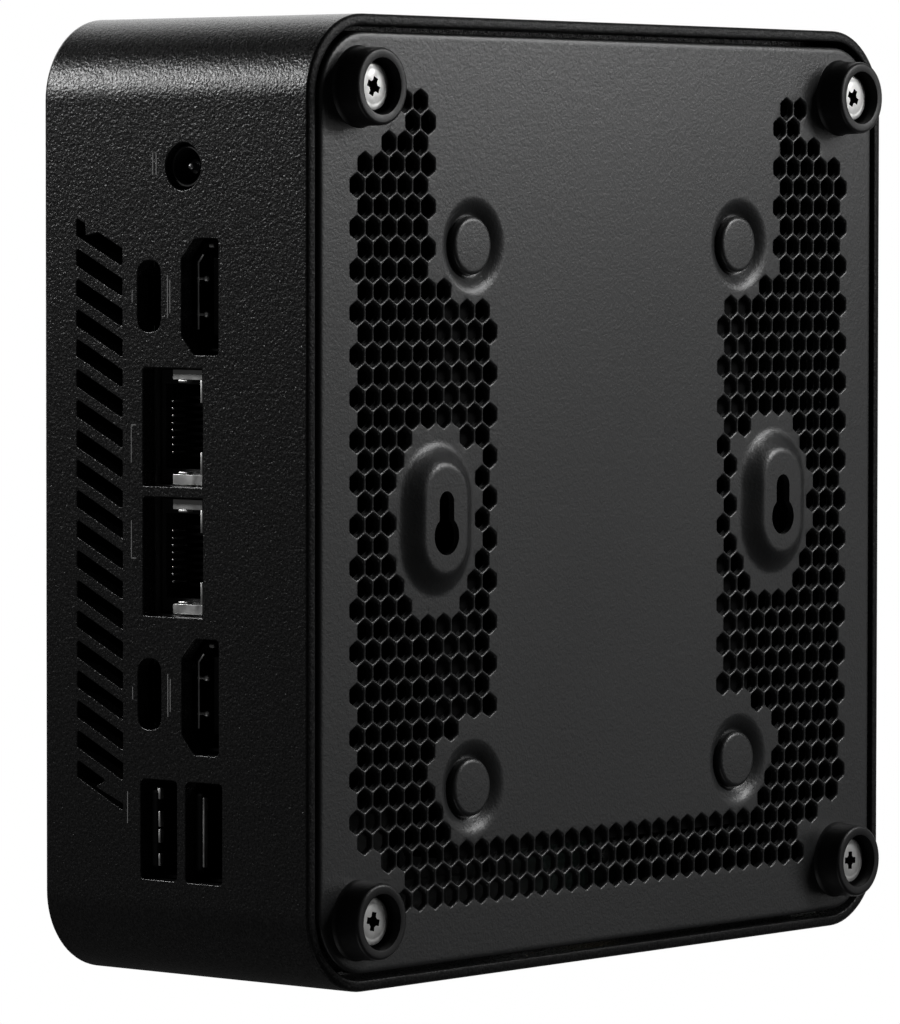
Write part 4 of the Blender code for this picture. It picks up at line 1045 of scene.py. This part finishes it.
def build_type_c_sockets():
    """Shells and tongues of the small oval sockets, near-black: painted shade on the metal shells, the
    tongues' own black.
    """
    for side, (x, z) in zip(SIDES, TYPE_C_PLACES):
        origin = (x, SOCKET_MOUTH, z)
        work = bmesh.new()
        walls = nested((x, z), oblong, (9.0, 3.3, 1.64), (8.5, 2.8, 1.39))
        tube(work, *walls, SOCKET_MOUTH - 7 * MM, SOCKET_MOUTH)
        block(work, origin, (-4.4, -7, -1.5), (4.4, -6, 1.5))
        # The shell's walls are near-black: painted shade inside the socket.
        piece("type_c_mouth_" + side, work, BLACK_AND_PAINTED_SHADE, "steel", node="type_c_socket_rear_" + side)
        tongue = [((-3.35, -6.5, -0.35), (3.35, -1.6, 0.35))]
        bars("type_c_tongue_" + side, BLACK_AND_PAINTED_SHADE, "socket_black", origin, tongue, 0.15)


def build_gasket():
    """Black foam strip that closes the gap between the board's rear edge and the wall."""
    board_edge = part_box("motherboard")[1].y / MM
    wall = (REAR - WALL) / MM
    strip = [((-46, board_edge + 0.3, 36.9), (55, wall - 0.1, 37.7))]
    bars("rear_gasket", BLACK_AND_PAINTED_SHADE, "rubber", (0, 0, 0), strip, 0.1)


# ---- front

def build_front_sockets():
    """The two flat sockets, the oval one and the audio jack's ring."""
    for side, x in zip(SIDES, FRONT_TYPE_A):
        build_front_serial(side, x)
    build_front_oval()
    work = bmesh.new()
    turn_y(work, FRONT_AUDIO, FRONT_LEVEL, [
        (1.82, 3.5), (1.82, 0.55), (1.9, 0.42), (2.02, 0.42), (2.08, 0.55), (2.08, 2.4),
    ], 36, FRONT)
    piece("audio_ring", work, TIN_DARK, "steel")


def build_front_serial(side, x):
    """Rolled shell with two springs, and a tongue with four contacts."""
    node = "type_a_socket_front_" + side
    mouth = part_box(node)[0].y
    work = bmesh.new()
    walls = nested((x, FRONT_LEVEL), oblong, (13.8, 6.4, 0.6), (13.0, 5.6, 0.4))
    tube(work, *walls, mouth + 12 * MM, mouth + 0.1 * MM)
    block(work, (x, mouth, FRONT_LEVEL), (-6.8, 11.5, -3), (6.8, 12.4, 3))
    for shift in (-3.2, 3.2):
        spring_tip(work, x + shift * MM, mouth + 3 * MM, FRONT_LEVEL + 2.35 * MM, 0.55)
    piece("front_shell_" + side, work, TIN_DARK, "steel", node=node)
    node += "_tongue"
    low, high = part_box(node)
    tongue = [((0, 0, 0), (high - low) / MM)]
    bars("front_tongue_" + side, SOCKET_BLACK, "socket_black", low, tongue, 0.45, 4, node)
    starts = [-4.0 + 2.33 * i for i in range(4)]
    contacts = [((start, 1.2, -0.12), (start + 1.0, 8, 0.1)) for start in starts]
    bars("front_contacts_" + side, GOLD, "brass", (x, low.y, low.z), contacts, 0.05)


def build_front_oval():
    """Shell, tongue and twelve contacts of the small oval socket."""
    node = "type_c_socket_front"
    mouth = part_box(node)[0].y
    origin = (FRONT_TYPE_C, mouth, FRONT_LEVEL)
    work = bmesh.new()
    walls = nested((FRONT_TYPE_C, FRONT_LEVEL), oblong, (8.84, 3.3, 1.64), (8.3, 2.7, 1.34))
    tube(work, *walls, mouth + 7 * MM, mouth + 0.1 * MM)
    block(work, origin, (-4.2, 6.4, -1.4), (4.2, 7.2, 1.4))
    piece("front_oval_shell", work, TIN_DARK, "steel", node=node)
    tongue = [((-3.35, 0.9, -0.35), (3.35, 6.6, 0.35))]
    bars("front_oval_tongue", SOCKET_BLACK, "socket_black", origin, tongue, 0.2, 3)
    starts = [-2.88 + 0.5 * i for i in range(12)]
    contacts = [((start, 1.3, -0.4), (start + 0.26, 5, -0.3)) for start in starts]
    bars("front_oval_contacts", GOLD, "brass", origin, contacts)


def build_button():
    """Power button: slightly dished cap with a chamfered rim, on a flange and a stem."""
    low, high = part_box("power_button")
    flange = (high.x - low.x) / 2 / MM
    shoulder = (FRONT + WALL - low.y) / MM + 0.3
    end = (high.y - low.y) / MM
    work = bmesh.new()
    turn_y(work, BUTTON.x, BUTTON.z, [
        (0, 0.3), (2.2, 0.24), (3.4, 0.11), (4.05, 0.01), (4.3, 0), (4.52, 0.05), (4.66, 0.17),
        (BUTTON_RADIUS, 0.34), (BUTTON_RADIUS, shoulder), (flange, shoulder), (flange, shoulder + 0.8),
        (1.6, shoulder + 0.8), (1.6, end), (0, end),
    ], 64, low.y)
    piece("button_cap", work, BLACK, "socket_black", "power_button", 40, "power_button")


# ---- boards and cards

# Nodes whose space on the board stays free of scattered parts
BOARD_CROWD = (
    "coin_cell", "memory_socket", "memory_module_lower", "storage_card", "storage_screw", "wireless_card",
    "lan_shield", "type_a_stack_rear", "video_socket_left", "video_socket_right",
    "type_c_socket_rear_left", "type_c_socket_rear_right", "power_socket", "type_a_socket_front_left",
    "type_a_socket_front_right", "type_c_socket_front", "audio_socket", "button_switch",
    *("board_screw_" + corner for corner in CORNERS),
)
# Scattered parts: piece, finish, slot, (wide, deep, tall) in mm, tries
BOARD_PARTS = (
    ("board_chokes", CHOKE, "silicon", (5.2, 5.2, 2.6), 16),
    ("board_chips", SILICON, "silicon", (5.0, 4.0, 0.9), 22),
    ("board_cans", NICKEL, "steel", (2.6, 2.6, 1.6), 18),
    ("board_capacitors", CERAMIC, "silicon", (1.6, 0.8, 0.6), 150),
    ("board_resistors", SILICON, "silicon", (1.0, 0.5, 0.35), 150),
)


def build_memory_parts():
    """Four chips, the edge contacts and two rows of small parts on the lower memory card."""
    low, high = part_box("memory_module_lower")
    board = low.z + 1.2 * MM
    middles = [(k - 1.5) * 15.5 for k in range(4)]
    chips = [((x - 5.05, 5.95, -0.05), (x + 5.05, 20.05, 0.9)) for x in middles]
    bars("memory_chips", SILICON, "silicon", (0, low.y, low.z), chips, 0.12)
    starts = [3.6 + k * 1.01 for k in range(60)]
    fingers = [((x, -5.4, -0.04), (x + 0.55, -4.0, 0.1)) for x in starts]
    bars("memory_fingers", GOLD, "brass", (low.x, high.y, board), fingers)
    small = []
    for k in range(26):
        x = 3.2 + k * 2.4
        small.append(((x, 2.2, -0.35 if k % 3 else -0.5), (x + 1.2, 2.9, 0.1)))
        small.append(((x, 4.0, -0.3), (x + 0.9, 4.5, 0.1)))
    bars("memory_capacitors", CERAMIC, "silicon", (low.x, low.y, board), small, 0.06)


def build_card_parts():
    """Chips and small parts on the storage card, and the near-black lid of the radio card, painted shade
    where it shows through the vents.
    """
    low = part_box("storage_card")[0]
    sizes = ((8, 24, 16), (30, 44, 14), (50, 64, 14))
    chips = [((x0 - 0.05, 2.95, -0.05), (x1 + 0.05, deep + 3.05, 0.9)) for x0, x1, deep in sizes]
    bars("storage_chips", SILICON, "silicon", low, chips, 0.12)
    small = []
    for k in range(14):
        x = 26 + (k % 2) * 1.6 + (20 if k > 6 else 0)
        y = 3.4 + (k % 7) * 2.3
        small.append(((x, y, 0.6), (x + 0.8, y + 1.4, 1.1)))
    bars("storage_capacitors", CERAMIC, "silicon", low, small, 0.06)
    lid = [((4.4, 3.9, -0.05), (17.6, 20.1, 1.0))]
    # The lid is near-black: painted shade through the vents.
    bars("wireless_lid", SHADE_DARK_LID, "steel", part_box("wireless_card")[0], lid, 0.35, 3)


def taken_spaces():
    """Boxes (x0, y0, x1, y1) on the board that are in use."""
    margin = 0.6 * MM
    taken = []
    for node in BOARD_CROWD:
        start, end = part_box(node)
        taken.append((start.x - margin, start.y - margin, end.x + margin, end.y + margin))
    reach = (BOSS_RADIUS + 1) * MM
    for spot in FEET.values():
        taken.append((spot.x - reach, spot.y - reach, spot.x + reach, spot.y + reach))
    return taken


def overlaps(first, second):
    """True if two boxes (x0, y0, x1, y1) overlap."""
    across = first[0] < second[2] and first[2] > second[0]
    return across and first[1] < second[3] and first[3] > second[1]


def build_board_parts():
    """Chokes, small chips and capacitors scattered over the free parts of the board's lower face."""
    low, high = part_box("motherboard")
    taken = taken_spaces()
    dice = random.Random(11)
    for name, material, slot, (wide, deep, tall), tries in BOARD_PARTS:
        work = bmesh.new()
        for _ in range(tries):
            x = dice.uniform(low.x + 2 * MM, high.x - 7 * MM)
            y = dice.uniform(low.y + 2 * MM, high.y - 7 * MM)
            w, d = (wide, deep) if dice.random() < 0.5 else (deep, wide)
            space = (x, y, x + w * MM, y + d * MM)
            if any(overlaps(space, other) for other in taken):
                continue
            taken.append(tuple(s + m * MM for s, m in zip(space, (-0.3, -0.3, 0.3, 0.3))))
            block(work, (x, y, low.z), (0, 0, -tall), (w, d, 0.1), min(0.12 * tall, 0.25))
        piece(name, work, material, slot)


# ---- printed marks

def build_marks():
    """Plain printed marks beside the sockets: bars and brackets, no lettering."""
    work = bmesh.new()
    mark(work, DC_PLACE, (-1.9, 5.6), (1.2, 5.75))
    mark(work, DC_PLACE, (-1.9, 4.95), (1.2, 5.1))
    for start, end in ((-10.6, -5.3), (2.8, 8.1)):
        mark(work, (0, 0), (start, 37.2), (end, 37.33))
        tick = start if start < 0 else end
        mark(work, (0, 0), (tick - 0.07, 36.35), (tick + 0.07, 37.33))
    for x, _ in TYPE_C_PLACES:
        mark(work, (x, 0), (-0.9, 37.0), (0.9, 37.13))
    for x, _ in VIDEO_PLACES:
        mark(work, (x, 0), (-3.0, 30.3), (3.0, 30.45))
        mark(work, (x, 0), (-2.3, 29.85), (2.3, 30.0))
    mark(work, (0, 0), (41.0, 38.0), (45.5, 38.13))
    piece("printed_marks", work, INK, "housing_black")


def mark(work, place, low, high):
    """Thin raised strip on the rear face; corners (x, z) in millimetres from a place."""
    block(work, (place[0], REAR, place[1]), (low[0], -0.02, low[1]), (high[0], 0.015, high[1]))


# ---- camera, lights and floor

# Area lights: name, place, aim, (width, height), radiance
MIDDLE = (0, 0, 0.02)
LIGHTS = (
    ("plate_key", (-0.145, -0.286, -0.252), (-0.04, 0, 0), (0.09, 0.09), 13.5),
    ("plate_fill", (-0.1, -0.95, -0.85), MIDDLE, (0.7, 0.7), 0.6),
    ("slope_key", (-0.27, -0.27, -0.37), (-0.02, 0, 0), (0.12, 0.12), 21.0),
    ("rear_key", (-0.28, 0.4, 0.52), (-0.06, 0.066, 0.045), (0.12, 0.12), 36.0),
    ("top", (-0.55, -0.8, 1.1), MIDDLE, (1.2, 1.2), 1.35),
    ("side_right", (1.2, 0.6, -0.1), MIDDLE, (1.1, 1.1), 0.45),
    ("side_left", (-1.0, -0.9, 0.35), MIDDLE, (1.1, 1.1), 0.35),
    ("front_wide", (0.45, -1.4, 0.5), MIDDLE, (2.0, 0.9), 0.4),
)
CAMERA_PLACE = Vector((-0.04016, 0.72806, -0.57445))
CAMERA_BACK = Vector((-0.04635, 0.76629, -0.64082))
CAMERA_UP = Vector((-0.99892, -0.03489, 0.03054))
FOCAL_LENGTH = 225.8                      # on a sensor 36 wide


def place_camera():
    """Long lens that looks up at the cover and the rear panel."""
    scene = bpy.context.scene
    scene.view_settings.view_transform = "Standard"
    lens = bpy.data.cameras.new("camera")
    lens.lens = FOCAL_LENGTH
    lens.sensor_width = 36
    lens.clip_start = 0.05
    lens.clip_end = 20
    camera = add_object("camera", lens)
    back = CAMERA_BACK.normalized()
    right = CAMERA_UP.cross(back).normalized()
    up = back.cross(right)
    camera.matrix_world = Matrix.Translation(CAMERA_PLACE) @ Matrix((right, up, back)).transposed().to_4x4()
    scene.camera = camera


def softbox(name, place, aim, size, radiance):
    """Rectangular area light of a given radiance, pointed at a target."""
    lamp = bpy.data.lights.new(name, "AREA")
    lamp.shape = "RECTANGLE"
    lamp.size, lamp.size_y = size
    lamp.energy = radiance * math.pi * size[0] * size[1]
    obj = add_object(name, lamp)
    obj.location = place
    obj.rotation_euler = (Vector(aim) - Vector(place)).to_track_quat("-Z", "Y").to_euler()
    obj.visible_camera = False


def build_surround():
    """White to the camera, nearly dark to everything else."""
    world = bpy.data.worlds.new("surround")
    bpy.context.scene.world = world
    world.use_nodes = True
    tree = world.node_tree
    background = tree.nodes["Background"]
    paths = tree.nodes.new("ShaderNodeLightPath")
    mix = tree.nodes.new("ShaderNodeMix")
    mix.data_type = "FLOAT"
    mix.inputs["A"].default_value = 0.03
    mix.inputs["B"].default_value = 1.0
    tree.links.new(paths.outputs["Is Camera Ray"], mix.inputs["Factor"])
    tree.links.new(mix.outputs["Result"], background.inputs["Strength"])
    background.inputs["Color"].default_value = (1, 1, 1, 1)


def build_floor():
    """Wide pale floor that never shades the underside."""
    work = bmesh.new()
    bmesh.ops.create_grid(work, x_segments=1, y_segments=1, size=40)
    floor = add_mesh("floor", work)
    floor.location = (0, 0, -0.0002)
    floor.visible_shadow = False
    floor.visible_diffuse = False
    floor.visible_glossy = False
    floor.visible_transmission = False
    floor.data.materials.append(floor_paint())


def floor_paint():
    """Pale paint that fades into the white surround and is clear from below."""
    shade = Shade("pale_floor", (0.8, 0.8, 0.8), 0.9, specular=0.1)
    reach = shade.tree.nodes.new("ShaderNodeVectorMath")
    reach.operation = "LENGTH"
    shade.link(shade.place, reach.inputs[0])
    far = shade.remap(reach.outputs["Value"], 0.3, 2.6, 0, 1)
    shade.shader.inputs["Emission Color"].default_value = (1, 1, 1, 1)
    shade.drive("Emission Strength", shade.remap(far, 0, 1, 0.3, 1.0))
    shade.drive("Base Color", shade.mix(far, (0.8, 0.8, 0.8), (0, 0, 0)))
    clear = shade.tree.nodes.new("ShaderNodeBsdfTransparent")
    side = shade.tree.nodes.new("ShaderNodeNewGeometry")
    chooser = shade.tree.nodes.new("ShaderNodeMixShader")
    shade.link(side.outputs["Backfacing"], chooser.inputs["Fac"])
    shade.link(shade.shader.outputs["BSDF"], chooser.inputs[1])
    shade.link(clear.outputs["BSDF"], chooser.inputs[2])
    shade.link(chooser.outputs["Shader"], shade.tree.nodes["Material Output"].inputs["Surface"])
    return shade.material


def build_scene():
    """Every piece, then the studio round it."""
    finish_cad_nodes()
    build_cover()
    build_studs()
    build_feet()
    build_housing()
    build_power_socket()
    build_video_sockets()
    build_network_sockets()
    build_serial_sockets()
    build_type_c_sockets()
    build_gasket()
    build_front_sockets()
    build_button()
    build_memory_parts()
    build_card_parts()
    build_board_parts()
    build_marks()
    place_camera()
    build_surround()
    for light in LIGHTS:
        softbox(*light)
    build_floor()


build_scene()
